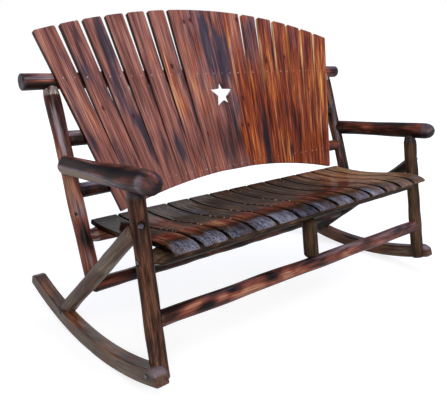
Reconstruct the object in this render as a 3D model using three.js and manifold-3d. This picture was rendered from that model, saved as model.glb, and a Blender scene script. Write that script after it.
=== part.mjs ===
// A two-seat rocking bench of round timbers with a fanned board back.
// Millimetres. +X runs along the bench, -Y is its front and +Z is up.
import * as THREE from "three";
import { mergeVertices } from "three/addons/utils/BufferGeometryUtils.js";
import Module from "manifold-3d";

const wasm = await Module();
wasm.setup();

// Sizes of the whole bench
const fitGap = 0.3; // air between two pieces that meet
const postPlane = 629; // from the middle of the bench to a rear post
const armOut = 12; // how much further out than the posts and legs the arms lie
const braceOut = 12;
const rockerOut = 21;

// Rear posts, given by the height and the depth of one point of their axis
const postLean = THREE.MathUtils.degToRad(19.1);
const postHeight = 250;
const postDepth = 343;
const postRadius = 24;
const postFootHeight = 216;
const postShoulderDrop = 39; // from the top rail's axis down to the post's shoulder

// Front legs
const legLean = THREE.MathUtils.degToRad(10.1);
const legHeight = 100;
const legDepth = 3;
const legRadius = 24;
const legFootHeight = 50;
const legShoulderDrop = 56; // from the arm's axis down to the leg's shoulder

// Arms
const armFrontHeight = 563;
const armRearHeight = 535;
const armFrontDepth = -38;
const armRearDepth = 437;
const armRightShorter = 26; // by this the right arm stops short of the left one
const armRightLower = 4;
const armFrontRadius = 30.5;
const armRearRadius = 28;
const armCapLength = 38;

// Braces, from the back of a rocker to the back of a front leg
const braceTopHeight = 425;
const braceTopDepth = 71;
const braceFootHeight = 46;
const braceFootDepth = 513;
const braceTopRadius = 22;
const braceFootRadius = 24.5;

// Rockers
const rockerRadius = 1088;
const rockerMiddle = 310; // depth of the middle of the arc
const rockerTall = 48;
const rockerThick = 38;
const rockerFrontSweep = THREE.MathUtils.degToRad(19.3);
const rockerRearSweep = THREE.MathUtils.degToRad(22.1);
const rockerRestLength = 62; // flat under the middle, on which the bench rests
const rockerFacet = 34;
const rockerCornerLong = 26;
const rockerCornerTall = 17;
const rockerEdge = 2.5;

// Cross logs
const topRailOverhang = 81; // how far its ends stand out from the posts
const topRailHeight = 766;
const topRailRadius = 25;
const middleRailShare = 0.197; // of the way from the top of the arms up to the top rail
const middleRailRadius = 23.5;
const lowerRailHeight = 458;
const lowerRailRadius = 23;
const rearSeatRailHeight = 329;
const rearSeatRailRadius = 23;
const frontSeatRailHeight = 355;
const frontSeatRailRadius = 26;
const frontSeatRailDepth = 46;
const frontStretcherHeight = 200;
const frontStretcherDrop = 22; // its right end stands this much lower
const frontStretcherRadius = 23;
const rearStretcherHeight = 175;
const rearStretcherDrop = 18;
const rearStretcherRadius = 22;
const centrePostRadius = 24.5;
const centrePostX = -13;

// Turned ends
const tenonRadius = 12.5;
const tenonLength = 22;
const neckRadius = 16;
const longCone = 30;
const shortCone = 9;
const sawnEdge = 3;
const domeLength = 27;

// Back boards
const boardThick = 16;
const boardCorner = 5; // taken off the top corners
const boardFlat = 11; // depth of the flat sawn on the rails for the boards
const fanLowHeight = 400;
const fanHighHeight = 980;
const fanMiddle = -6; // where the middle joint stands; the outer edges stay where they are
const fanLowInset = 121; // at fanLowHeight the fan ends this far inside the posts
const fanHighOverhang = 47; // and at fanHighHeight this far outside
const centreLowHalf = 121; // half width of the four boards set tight
const centreHighHalf = 171;
const topEdgeHeight = 994;
const topEdgeFall = 83;
const topEdgeMiddle = 9; // where the top arch is highest
const topEdgeHalf = 650;
const lowEdgeHeight = 447;
const lowEdgeFall = 60;
const lowEdgeHalf = 502;
const tightGap = 0.8;
const openLowGap = 0.8;
const openHighGap = 13.5;
const starHeight = 705;
const starRadius = 54;

// Seat slats
const seatClearance = 10; // between the outer slats and the legs
const slatGap = 4.5;
const slatThick = 16;
const slatEdge = 1.8;
const seatFront = -27;
const seatRear = 395;
const seatHigh = 394; // top of the slats over the front rail
const seatDip = 28; // how far the dip lies below it

// Fixings
const boltRadius = 4;
const boltHeadRadius = 7.5;
const boltHeadTall = 5;
const boltHeadEdge = 1.5;
const sinkRadius = 9.5;
const sinkDeep = 7;
const braceBoltReach = 31; // from the top end of a brace to the bolt's head
const braceBoltOut = 7;
const braceBoltLong = 72;
const railBoltLong = 52;
const rockerBoltLong = 44;
const rockerBoltSink = 1.5;
const armBoltOut = 4;
const armBoltLong = 78;
const braceScrewInset = 16; // ahead of the brace's foot
const braceScrewRise = 6; // and above it
const footScrewRise = 23; // above the leg's foot

// Counts and shares, which carry no size
const boardsAside = 8;
const tightAside = 2;
const slatCount = 13;
const roundSteps = 24;
const boltSteps = 12;
const domeSteps = 5;
const slatSteps = 16;
const meetSteps = 12; // rounds in which an edge and an arch find their crossing
const starInnerShare = 0.43;
const seatRiseShares = [0.18, 0.06, 0, 0.02, 0.1, 0.32, 0.62, 0.86, 0.98, 1, 0.95, 0.81, 0.5];
const seatRunShares = [1, 0.94, 0.86, 0.76, 0.64, 0.51, 0.38, 0.28, 0.2, 0.135, 0.08, 0.035, 0];

const bench = new THREE.Group();

// A geometry as a solid, without the slivers that a turned profile leaves on its axis.
function solid(geometry) {
  geometry.deleteAttribute("normal");
  geometry.deleteAttribute("uv");
  const merged = mergeVertices(geometry, fitGap / 100);
  const corners = merged.index.array;
  const kept = [];
  for (let i = 0; i < corners.length; i += 3) {
    const [a, b, c] = corners.slice(i, i + 3);
    if (a !== b && b !== c && c !== a) kept.push(a, b, c);
  }
  const mesh = new wasm.Mesh({
    numProp: 3,
    vertProperties: merged.attributes.position.array,
    triVerts: new Uint32Array(kept),
  });
  mesh.merge();
  return new wasm.Manifold(mesh);
}

// Adds a solid to the bench as one named mesh.
function place(name, body, look) {
  const mesh = body.getMesh();
  const geometry = new THREE.BufferGeometry();
  geometry.setAttribute("position", new THREE.BufferAttribute(mesh.vertProperties, 3));
  geometry.setIndex(new THREE.BufferAttribute(mesh.triVerts, 1));
  const flat = geometry.toNonIndexed();
  flat.computeVertexNormals();
  const made = new THREE.Mesh(flat, new THREE.MeshStandardMaterial(look));
  made.name = name;
  bench.add(made);
}

// Profile points of one end, from the axis outward; t is the distance from the end.
function endProfile(radius, end) {
  if (end.form === "dome") {
    const points = [];
    for (let i = 0; i <= domeSteps; i += 1) {
      const turn = ((i / domeSteps) * Math.PI) / 2;
      points.push([radius * Math.sin(turn), end.length * (1 - Math.cos(turn))]);
    }
    return points;
  }
  if (end.form === "tenon") {
    const neck = Math.min(end.neck, radius);
    const pin = Math.min(end.pin, neck);
    return [[0, 0], [pin, 0], [pin, end.length], [neck, end.length], [radius, end.length + end.cone]];
  }
  return [[0, 0], [radius - sawnEdge, 0], [radius, sawnEdge]];
}

// A round timber between two points. Grow widens and lengthens it, to cut its own place.
function timber(start, end, startRadius, endRadius, startEnd, endEnd, grow = 0) {
  const axis = new THREE.Vector3().subVectors(end, start);
  const long = axis.length();
  axis.normalize();
  const bottom = endProfile(startRadius, startEnd).map(([r, t]) => [r, t]);
  const top = endProfile(endRadius, endEnd).map(([r, t]) => [r, long - t]).reverse();
  const points = [...bottom, ...top].map(([r, t], i, all) => {
    const away = i < bottom.length ? -grow : grow;
    const onAxis = i === 0 || i === all.length - 1;
    return new THREE.Vector2(onAxis ? 0 : r + grow, t + away);
  });
  const geometry = new THREE.LatheGeometry(points, roundSteps);
  const turn = new THREE.Quaternion().setFromUnitVectors(new THREE.Vector3(0, 1, 0), axis);
  geometry.applyQuaternion(turn);
  geometry.translate(start.x, start.y, start.z);
  return solid(geometry);
}

const point = (x, y, z) => new THREE.Vector3(x, y, z);
const postY = (z) => postDepth + (z - postHeight) * Math.tan(postLean);
const legY = (z) => legDepth + (z - legHeight) * Math.tan(legLean);
const sawn = { form: "sawn" };
const tenon = (cone, length = tenonLength, neck = neckRadius) =>
  ({ form: "tenon", cone, length, neck, pin: tenonRadius });

// A prism whose outline lies in the side plane (depth, height), across the bench.
function sidePrism(outline, middle, thick, edge) {
  const shape = new THREE.Shape(outline.map(([y, z]) => new THREE.Vector2(y, z)));
  const geometry = new THREE.ExtrudeGeometry(shape, {
    depth: thick - 2 * edge,
    bevelEnabled: edge > 0,
    bevelThickness: edge,
    bevelSize: edge,
    bevelOffset: -edge,
    bevelSegments: 1,
    steps: 1,
  });
  geometry.translate(0, 0, edge - thick / 2);
  const turn = new THREE.Matrix4().makeBasis(point(0, 1, 0), point(0, 0, 1), point(1, 0, 0));
  geometry.applyMatrix4(turn);
  geometry.translate(middle, 0, 0);
  return solid(geometry);
}

// Outline of a rocker: an arc with a short flat at rest, and worn upper corners.
function rockerOutline(grow) {
  const outer = rockerRadius + grow;
  const inner = rockerRadius - rockerTall - grow;
  const rest = rockerRestLength / 2 / rockerRadius;
  const at = (radius, turn) =>
    [rockerMiddle + radius * Math.sin(turn), rockerRadius - radius * Math.cos(turn)];
  const turns = (from, to) => {
    const count = Math.max(2, Math.round((Math.abs(to - from) * rockerRadius) / rockerFacet));
    return Array.from({ length: count + 1 }, (_, i) => from + ((to - from) * i) / count);
  };
  const extra = grow / rockerRadius;
  const front = -rockerFrontSweep - extra;
  const rear = rockerRearSweep + extra;
  const corner = rockerCornerLong / rockerRadius;
  return [
    ...turns(front, -rest).map((turn) => at(outer, turn)),
    ...turns(rest, rear).map((turn) => at(outer, turn)),
    at(inner + rockerCornerTall, rear),
    ...turns(rear - corner, front + corner).map((turn) => at(inner, turn)),
    at(inner + rockerCornerTall, front),
  ];
}

// A bolt with a round head, driven from a point along a direction.
function bolt(head, along, long, grow = 0) {
  const headRadius = grow ? sinkRadius : boltHeadRadius;
  const rise = grow ? sinkDeep + boltHeadTall + boltHeadRadius : boltHeadTall;
  const edge = grow ? 0 : boltHeadEdge;
  const profile = [
    [0, long + grow],
    [boltRadius + grow, long + grow],
    [boltRadius + grow, grow],
    [headRadius, grow],
    [headRadius, edge - rise],
    ...(grow ? [] : [[headRadius - edge, -rise]]),
    [0, -rise],
  ].map(([r, t]) => new THREE.Vector2(r, t)).reverse();
  const geometry = new THREE.LatheGeometry(profile, boltSteps);
  const turn = new THREE.Quaternion().setFromUnitVectors(point(0, 1, 0), along);
  geometry.applyQuaternion(turn);
  geometry.translate(head.x, head.y, head.z);
  return solid(geometry);
}

// One side frame; side is -1 on the left and 1 on the right.
function sideTimbers(side) {
  const postX = side * postPlane;
  const armX = side * (postPlane + armOut);
  const armTip = armFrontDepth + (side > 0 ? armRightShorter : 0);
  const armDrop = side > 0 ? armRightLower : 0;
  const braceX = side * (postPlane + braceOut);
  const rockerX = side * (postPlane + rockerOut);
  const postTop = topRailHeight + tenonRadius;
  const post = (grow = 0) => timber(
    point(postX, postY(postFootHeight), postFootHeight),
    point(postX, postY(postTop), postTop),
    postRadius, postRadius, sawn,
    { form: "dome", length: (tenonRadius + postShoulderDrop) / Math.cos(postLean) }, grow,
  );
  const legTop = armFrontHeight;
  const leg = (grow = 0) => timber(
    point(postX, legY(legFootHeight), legFootHeight),
    point(postX, legY(legTop), legTop),
    legRadius, legRadius, sawn,
    tenon(domeLength, legShoulderDrop - domeLength, neckRadius), grow,
  );
  const arm = (grow = 0) => timber(
    point(armX, armRearDepth, armRearHeight - armDrop),
    point(armX, armTip, armFrontHeight - armDrop),
    armRearRadius, armFrontRadius, sawn, { form: "dome", length: armCapLength }, grow,
  );
  const brace = (grow = 0) => timber(
    point(braceX, braceFootDepth, braceFootHeight),
    point(braceX, braceTopDepth, braceTopHeight),
    braceFootRadius, braceTopRadius, sawn, sawn, grow,
  );
  const rocker = (grow = 0) =>
    sidePrism(rockerOutline(grow), rockerX, rockerThick + 2 * grow, grow ? 0 : rockerEdge);
  return { postX, rockerX, post, leg, arm, brace, rocker };
}

const sides = { left: sideTimbers(-1), right: sideTimbers(1) };

// A log across the bench between two side pieces, which hold its tenons.
function crossLog(half, leftY, leftZ, rightY, rightZ, radius, cone, grow = 0) {
  const end = tenon(cone);
  return timber(point(-half, leftY, leftZ), point(half, rightY, rightZ), radius, radius, end, end, grow);
}

const topRailHalf = postPlane + topRailOverhang;
const armTopHeight = armRearHeight + armRearRadius;
const middleRailHeight = armTopHeight + middleRailShare * (topRailHeight - armTopHeight);
const postHalf = postPlane - postRadius + tenonLength + shortCone;
const coneHalf = postPlane - postRadius + tenonLength + tenonRadius;
const stretcherHalf = postPlane + braceOut;
const onPost = (height, radius, half, cone) => (grow = 0) =>
  crossLog(half, postY(height), height, postY(height), height, radius, cone, grow);
const frontDrop = frontStretcherHeight - frontStretcherDrop;
const rearDrop = rearStretcherHeight - rearStretcherDrop;
const braceY = (z) => braceFootDepth
  + ((z - braceFootHeight) * (braceTopDepth - braceFootDepth)) / (braceTopHeight - braceFootHeight);
const logs = {
  top_rail: (grow = 0) => timber(
    point(-topRailHalf, postY(topRailHeight), topRailHeight),
    point(topRailHalf, postY(topRailHeight), topRailHeight),
    topRailRadius, topRailRadius, sawn, sawn, grow,
  ),
  middle_back_rail: onPost(middleRailHeight, middleRailRadius, postHalf, shortCone),
  lower_back_rail: onPost(lowerRailHeight, lowerRailRadius, postHalf, shortCone),
  rear_seat_rail: onPost(rearSeatRailHeight, rearSeatRailRadius, coneHalf, longCone),
  front_seat_rail: (grow = 0) => crossLog(
    coneHalf, frontSeatRailDepth, frontSeatRailHeight, frontSeatRailDepth, frontSeatRailHeight,
    frontSeatRailRadius, longCone, grow,
  ),
  front_stretcher: (grow = 0) => crossLog(
    coneHalf, legY(frontStretcherHeight), frontStretcherHeight, legY(frontDrop), frontDrop,
    frontStretcherRadius, shortCone, grow,
  ),
  rear_stretcher: (grow = 0) => crossLog(
    stretcherHalf, braceY(rearStretcherHeight), rearStretcherHeight, braceY(rearDrop), rearDrop,
    rearStretcherRadius, shortCone, grow,
  ),
};

// The middle post between the front stretcher and the front seat rail.
function centrePost(grow = 0) {
  const low = (frontStretcherHeight + frontDrop) / 2;
  return timber(
    point(centrePostX, legY(low), low), point(centrePostX, frontSeatRailDepth, frontSeatRailHeight),
    centrePostRadius, centrePostRadius, tenon(shortCone), tenon(shortCone), grow,
  );
}

// Top line of the slats, from the rear to the front, and the line a thickness below it.
function slatOutline(thick) {
  const line = seatRunShares.map((share, i) => new THREE.Vector2(
    seatFront + share * (seatRear - seatFront),
    seatHigh - seatDip * (1 - seatRiseShares[i]),
  ));
  const top = new THREE.SplineCurve(line).getPoints(slatSteps);
  const below = top.map((p, i) => {
    const before = top[Math.max(0, i - 1)];
    const after = top[Math.min(top.length - 1, i + 1)];
    const run = new THREE.Vector2().subVectors(after, before).normalize();
    return [p.x - run.y * thick, p.y + run.x * thick];
  });
  return [...top.map((p) => [p.x, p.y]), ...below.reverse()];
}

const seatHalf = postPlane - legRadius - seatClearance;
const slatPitch = (2 * seatHalf) / slatCount;
const slatWidth = slatPitch - slatGap;
const slatX = (i) => -seatHalf + slatPitch * (i + 0.5);

const fanLowHalf = postPlane - fanLowInset;
const fanHighHalf = postPlane + fanHighOverhang;

// Board frame: local X along the bench, Y up the lean, Z out of the front face.
const boardUp = point(0, Math.sin(postLean), Math.cos(postLean));
const boardOut = point(0, -Math.cos(postLean), Math.sin(postLean));
const boardBack = topRailRadius - boardFlat;
const boardFrame = new THREE.Matrix4().makeBasis(point(1, 0, 0), boardUp, boardOut)
  .setPosition(0, postY(0) + boardOut.y * boardBack, boardOut.z * boardBack);
const faceRise = boardOut.z * (boardBack + boardThick);
const upBoard = (height) => (height - faceRise) / boardUp.z;

// Where joint line number i of the fan runs on one side, i counted from the middle.
function fanLine(i, side) {
  const share = (i - tightAside) / (boardsAside - tightAside);
  const shift = side * fanMiddle * (1 - i / boardsAside);
  const spread = (tight, all) =>
    shift + (i <= tightAside ? (tight * i) / tightAside : tight + (all - tight) * share);
  return { low: spread(centreLowHalf, fanLowHalf), high: spread(centreHighHalf, fanHighHalf) };
}

// Outline of board number i, in the board frame, with X running outward on its side.
function boardOutline(i, side) {
  const low = upBoard(fanLowHeight);
  const high = upBoard(fanHighHeight);
  const edge = (joint, away, tight) => {
    const line = fanLine(joint, side);
    const lowGap = tight ? tightGap : openLowGap;
    const highGap = tight ? tightGap : openHighGap;
    return (s) => {
      const share = (s - low) / (high - low);
      const gap = lowGap + (highGap - lowGap) * share;
      return line.low + (line.high - line.low) * share + (away * gap) / 2;
    };
  };
  const inner = edge(i, 1, i < tightAside);
  const outer = edge(i + 1, -1, i + 1 < tightAside || i + 1 === boardsAside);
  const topArc = (x) =>
    upBoard(topEdgeHeight - topEdgeFall * ((x - side * topEdgeMiddle) / topEdgeHalf) ** 2);
  const lowArc = (x) => upBoard(lowEdgeHeight - lowEdgeFall * (x / lowEdgeHalf) ** 2);
  const meet = (line, arc) => {
    let s = arc(line(low));
    for (let n = 0; n < meetSteps; n += 1) s = arc(line(s));
    return line(s);
  };
  const along = (from, to, arc) =>
    [from, (from + to) / 2, to].map((x) => [x, arc(x)]);
  const bottom = along(meet(inner, lowArc), meet(outer, lowArc), lowArc);
  const topOut = meet(outer, topArc);
  const topIn = meet(inner, topArc);
  const corner = (line, x) => [line(topArc(x) - boardCorner), topArc(x) - boardCorner];
  return [
    ...bottom,
    corner(outer, topOut),
    ...along(topOut - boardCorner, topIn + boardCorner, topArc),
    corner(inner, topIn),
    ...(i === 0 ? halfStar(side * fanMiddle, inner) : []),
  ];
}

// Half of a five-pointed star on the middle joint, from its top point down.
function halfStar(from, inner) {
  const middle = upBoard(starHeight);
  return [90, 54, 18, -18, -54, -90].map((degrees, n) => {
    const turn = THREE.MathUtils.degToRad(degrees);
    const radius = starRadius * (n % 2 ? starInnerShare : 1);
    const s = middle + radius * Math.sin(turn);
    return [Math.max(inner(s), from + radius * Math.cos(turn)), s];
  });
}

function board(i, side) {
  const outline = boardOutline(i, side).map(([x, s]) => new THREE.Vector2(side * x, s));
  const shape = new THREE.Shape(side > 0 ? outline : outline.reverse());
  const geometry = new THREE.ExtrudeGeometry(shape, { depth: boardThick, bevelEnabled: false });
  geometry.applyMatrix4(boardFrame);
  return solid(geometry);
}

// The room that the fan of boards takes in front of the flats on the rails.
function boardSpace() {
  const reach = 2 * topRailRadius;
  const corner = (height, side) => {
    const share = (height - fanLowHeight) / (fanHighHeight - fanLowHeight);
    const half = fanLowHalf + (fanHighHalf - fanLowHalf) * share + fitGap;
    return new THREE.Vector2(side * half, upBoard(height));
  };
  const low = fanLowHeight - reach;
  const high = topEdgeHeight + reach;
  const shape = new THREE.Shape([corner(low, -1), corner(low, 1), corner(high, 1), corner(high, -1)]);
  const geometry = new THREE.ExtrudeGeometry(shape, { depth: reach, bevelEnabled: false });
  geometry.translate(0, 0, -fitGap);
  geometry.applyMatrix4(boardFrame);
  return solid(geometry);
}

// Fixings: where each bolt's head sits and the way it is driven.
function fixings(side, s) {
  const outward = side;
  const braceTop = point(s.postX + outward * braceBoltOut, braceTopDepth, braceTopHeight);
  const downBrace = point(0, braceFootDepth - braceTopDepth, braceFootHeight - braceTopHeight).normalize();
  const armSlope = (armFrontHeight - armRearHeight) / (armRearDepth - armFrontDepth);
  const armZ = (y) => armRearHeight + (armRearDepth - y) * armSlope;
  const armBoltZ = armZ(postY(armRearHeight)) - (side > 0 ? armRightLower : 0);
  const footScrewHeight = legFootHeight + footScrewRise;
  const rockerFace = s.rockerX + outward * (rockerThick / 2 - rockerBoltSink);
  return {
    brace_bolt: {
      head: braceTop.addScaledVector(downBrace, -braceBoltReach),
      along: downBrace, long: braceBoltLong,
    },
    seat_rail_bolt: {
      head: point(s.postX + outward * (legRadius - sinkDeep), frontSeatRailDepth, frontSeatRailHeight),
      along: point(-outward, 0, 0), long: railBoltLong,
    },
    arm_bolt: {
      head: point(s.postX + outward * armBoltOut, postY(armBoltZ) + postRadius - sinkDeep, armBoltZ),
      along: point(0, -1, 0), long: armBoltLong,
    },
    rocker_leg_screw: {
      head: point(rockerFace, legY(footScrewHeight), footScrewHeight),
      along: point(-outward, 0, 0), long: rockerBoltLong,
    },
    rocker_brace_screw: {
      head: point(rockerFace, braceFootDepth - braceScrewInset, braceFootHeight + braceScrewRise),
      along: point(-outward, 0, 0), long: rockerBoltLong,
    },
  };
}

// Colours, one for each kind of timber
const looks = {
  log: { color: "#4a2c22", roughness: 0.35, metalness: 0 },
  arm: { color: "#452a20", roughness: 0.3, metalness: 0 },
  plain: { color: "#6b5c4c", roughness: 0.5, metalness: 0 },
  board: { color: "#7d4936", roughness: 0.4, metalness: 0 },
  slat: { color: "#4b3528", roughness: 0.3, metalness: 0 },
  steel: { color: "#8d9096", roughness: 0.35, metalness: 1 },
};

const cut = (body, tools) => tools.reduce((rest, tool) => rest.subtract(tool), body);

// The bolts of one side frame, grown by the fit gap to cut their holes.
const holesOf = (bolts) => Object.fromEntries(
  Object.entries(bolts).map(([name, b]) => [name, bolt(b.head, b.along, b.long, fitGap)]),
);

function build() {
  const bolts = { left: fixings(-1, sides.left), right: fixings(1, sides.right) };
  const leftHoles = holesOf(bolts.left);
  const rightHoles = holesOf(bolts.right);
  const grown = (name) => logs[name](fitGap);
  for (const [sideName, s] of Object.entries(sides)) {
    const holes = sideName === "left" ? leftHoles : rightHoles;
    const rockerHoles = [holes.rocker_leg_screw, holes.rocker_brace_screw];
    place(`rocker_${sideName}`, cut(s.rocker(), rockerHoles), looks.plain);
    place(`front_leg_${sideName}`, cut(s.leg(), [
      s.rocker(fitGap), grown("front_seat_rail"), grown("front_stretcher"),
      holes.brace_bolt, holes.seat_rail_bolt, holes.rocker_leg_screw,
    ]), looks.log);
    place(`brace_${sideName}`, cut(s.brace(), [
      s.rocker(fitGap), s.leg(fitGap), grown("rear_stretcher"),
      holes.brace_bolt, holes.rocker_brace_screw,
    ]), looks.plain);
    place(`rear_post_${sideName}`, cut(s.post(), [
      s.brace(fitGap), grown("rear_stretcher"), grown("middle_back_rail"),
      grown("lower_back_rail"), grown("rear_seat_rail"), holes.arm_bolt, boardSpace(),
    ]), looks.log);
    place(`arm_${sideName}`, cut(s.arm(), [
      s.post(fitGap), s.leg(fitGap), holes.arm_bolt,
    ]), looks.arm);
    Object.entries(bolts[sideName]).forEach(([name, b]) =>
      place(`${name}_${sideName}`, bolt(b.head, b.along, b.long), looks.steel));
  }
  const { left, right } = sides;
  const flat = boardSpace();
  const seat = sidePrism(slatOutline(slatThick + fitGap), 0, 2 * seatHalf, 0);
  place("top_rail", cut(logs.top_rail(), [left.post(fitGap), right.post(fitGap), flat]), looks.log);
  place("middle_back_rail", cut(logs.middle_back_rail(), [flat]), looks.log);
  place("lower_back_rail", cut(logs.lower_back_rail(), [flat]), looks.log);
  place("rear_seat_rail", cut(logs.rear_seat_rail(), [seat]), looks.log);
  place("front_seat_rail", cut(logs.front_seat_rail(), [
    seat, centrePost(fitGap), leftHoles.seat_rail_bolt, rightHoles.seat_rail_bolt,
  ]), looks.log);
  place("front_stretcher", cut(logs.front_stretcher(), [centrePost(fitGap)]), looks.log);
  place("rear_stretcher", logs.rear_stretcher(), looks.log);
  place("centre_post", centrePost(), looks.log);
  for (let i = 0; i < slatCount; i += 1) {
    const number = String(i + 1).padStart(2, "0");
    const slat = sidePrism(slatOutline(slatThick), slatX(i), slatWidth, slatEdge);
    place(`seat_slat_${number}`, slat, looks.slat);
  }
  for (let i = 0; i < boardsAside; i += 1) {
    place(`back_board_left_${i + 1}`, board(i, -1), looks.board);
    place(`back_board_right_${i + 1}`, board(i, 1), looks.board);
  }
}

build();
const extent = new THREE.Box3().setFromObject(bench);
bench.position.set(
  -(extent.min.x + extent.max.x) / 2, -(extent.min.y + extent.max.y) / 2, -extent.min.z,
);
bench.name = "rocking_bench";

export default bench;
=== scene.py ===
# A rocking bench of scorched logs and boards, dressed for its photograph.
# The bench's own frame is kept: metres, +X along the bench, -Y out of its front, +Z up.
import math

import bpy
import numpy as np
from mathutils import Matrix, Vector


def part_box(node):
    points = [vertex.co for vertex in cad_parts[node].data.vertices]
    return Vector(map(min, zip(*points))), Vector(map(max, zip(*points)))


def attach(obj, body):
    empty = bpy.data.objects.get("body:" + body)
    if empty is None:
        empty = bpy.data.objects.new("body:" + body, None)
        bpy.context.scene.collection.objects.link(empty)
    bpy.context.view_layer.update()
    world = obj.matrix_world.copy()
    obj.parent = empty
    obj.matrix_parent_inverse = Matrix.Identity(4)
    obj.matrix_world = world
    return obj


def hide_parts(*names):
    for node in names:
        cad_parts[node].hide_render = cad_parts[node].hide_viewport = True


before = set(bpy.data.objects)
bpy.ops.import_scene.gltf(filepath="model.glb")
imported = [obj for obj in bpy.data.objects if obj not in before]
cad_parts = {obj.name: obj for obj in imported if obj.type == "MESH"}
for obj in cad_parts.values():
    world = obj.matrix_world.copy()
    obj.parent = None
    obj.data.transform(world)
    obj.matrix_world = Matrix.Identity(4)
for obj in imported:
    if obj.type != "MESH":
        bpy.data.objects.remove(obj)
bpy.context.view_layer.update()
print("frame loaded")

mm = 0.001
bench = {
    "postPlane": 629, "postLean": 19.1, "postHeight": 250, "postDepth": 343,
    "legLean": 10.1, "legHeight": 100, "legDepth": 3,
    "armX": 641, "braceX": 641, "rockerX": 650, "postRadius": 24,
    # depth and height of points on the axes
    "armTip": (-38, 563), "armRear": (437, 535), "armRightLower": 4,
    "braceFoot": (513, 46), "braceTop": (71, 425), "frontRail": (46, 355),
    "restLift": 0.44,
}
postX, armX, braceX, rockerX = bench["postPlane"], bench["armX"], bench["braceX"], bench["rockerX"]
# the sizes below are in millimetres of the bench's drawing, whose depths start at another line
depthShift = bench["armTip"][0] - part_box("arm_left")[0].y / mm


# Millimetres of the drawing to metres of the frame, and back.
def inFrame(points):
    return (np.asarray(points, float) - [0, depthShift, bench["restLift"]]) * mm


def inDrawing(points):
    return np.asarray(points, float) / mm + [0, depthShift, bench["restLift"]]


# Depth of the axis of the leaning posts, legs and braces at a height.
def postY(z):
    return bench["postDepth"] + (z - bench["postHeight"]) * math.tan(math.radians(bench["postLean"]))


def legY(z):
    return bench["legDepth"] + (z - bench["legHeight"]) * math.tan(math.radians(bench["legLean"]))


def braceY(z):
    (footY, footZ), (topY, topZ) = bench["braceFoot"], bench["braceTop"]
    return footY - (z - footZ) * (footY - topY) / (topZ - footZ)


# Materials first: every one is worked out from nodes.


# An sRGB hex colour as the linear colour that a shader takes.
def linearColor(text):
    c = np.array([int(text[i:i + 2], 16) / 255 for i in (1, 3, 5)])
    c = np.where(c > 0.04045, ((c + 0.055) / 1.055) ** 2.4, c / 12.92)
    return [*c.tolist(), 1.0]


# Adds one node with its settings; an input is a value or another node's output.
def addNode(tree, kind, inputs=None, **settings):
    made = tree.nodes.new(kind)
    for name, value in settings.items():
        setattr(made, name, value)
    for name, value in (inputs or {}).items():
        if isinstance(value, bpy.types.NodeSocket):
            tree.links.new(value, made.inputs[name])
        else:
            made.inputs[name].default_value = value
    return made


# Sets the colours along a ramp from a list of (place, hex colour).
def fillRamp(ramp, stops):
    marks = ramp.color_ramp.elements
    marks[0].position, marks[1].position = stops[0][0], stops[-1][0]
    marks[0].color, marks[1].color = linearColor(stops[0][1]), linearColor(stops[-1][1])
    for place, color in stops[1:-1]:
        marks.new(place).color = linearColor(color)
    return ramp


# A new material's tree with its shader joined to the output.
def newMaterial(name):
    material = bpy.data.materials.new(name)
    material.use_nodes = True
    tree = material.node_tree
    tree.nodes.clear()
    shader = addNode(tree, "ShaderNodeBsdfPrincipled")
    addNode(tree, "ShaderNodeOutputMaterial", {"Surface": shader.outputs[0]})
    return material, tree, shader


# Noise on the grain coordinates, drawn out along the timber; size is in millimetres across it.
def grainNoise(tree, grain, size, stretch, detail=3.0, roughness=0.55, curl=0.0):
    drawn = addNode(tree, "ShaderNodeMapping", {"Vector": grain, "Scale": (1, 1, 1 / stretch)})
    noise = addNode(tree, "ShaderNodeTexNoise", {
        "Vector": drawn.outputs[0], "Scale": 1 / (size * mm), "Detail": detail, "Roughness": roughness,
        "Distortion": curl,
    })
    return noise.outputs[0]


# a + b.
def plus(tree, a, b):
    return addNode(tree, "ShaderNodeMath", {0: a, 1: b}, operation="ADD").outputs[0]


# a + (b - 0.5) * share, which lets a noise push a value up or down.
def pushed(tree, a, b, share):
    centred = plus(tree, b, -0.5)
    return addNode(tree, "ShaderNodeMath", {0: centred, 1: share, 2: a}, operation="MULTIPLY_ADD").outputs[0]


# A value carried from low..high to toLow..toHigh, in a straight line unless the settings say otherwise:
# toLow + (toHigh - toLow) * (value - low) / (high - low).
def carried(tree, value, low, high, toLow, toHigh, **settings):
    return addNode(tree, "ShaderNodeMapRange", {
        "Value": value, "From Min": low, "From Max": high, "To Min": toLow, "To Max": toHigh,
    }, **settings).outputs[0]


# A value carried smoothly from 0 at low to 1 at high.
def step(tree, value, low, high):
    return carried(tree, value, low, high, 0.0, 1.0, interpolation_type="SMOOTHSTEP")


# The colour that a value picks from a ramp.
def rampColor(tree, value, stops):
    return fillRamp(addNode(tree, "ShaderNodeValToRGB", {"Fac": value}), stops).outputs[0]


# What the painting functions lay on the vertices under a name.
def painted(tree, name, output="Fac"):
    return addNode(tree, "ShaderNodeAttribute", attribute_name=name).outputs[output]


lacquer = {"specular": "Specular IOR Level", "coat": "Coat Weight", "coatRoughness": "Coat Roughness"}


# Joins colour, roughness and a bump of some millimetres to the shader, and sets the lacquer.
def joinShader(tree, shader, look, color, rough, relief, strength, depth):
    tree.links.new(color, shader.inputs["Base Color"])
    tree.links.new(rough, shader.inputs["Roughness"])
    bump = addNode(tree, "ShaderNodeBump", {"Height": relief, "Strength": strength, "Distance": depth * mm})
    tree.links.new(bump.outputs[0], shader.inputs["Normal"])
    for key, socket in lacquer.items():
        if key in look:
            shader.inputs[socket].default_value = look[key]


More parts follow.
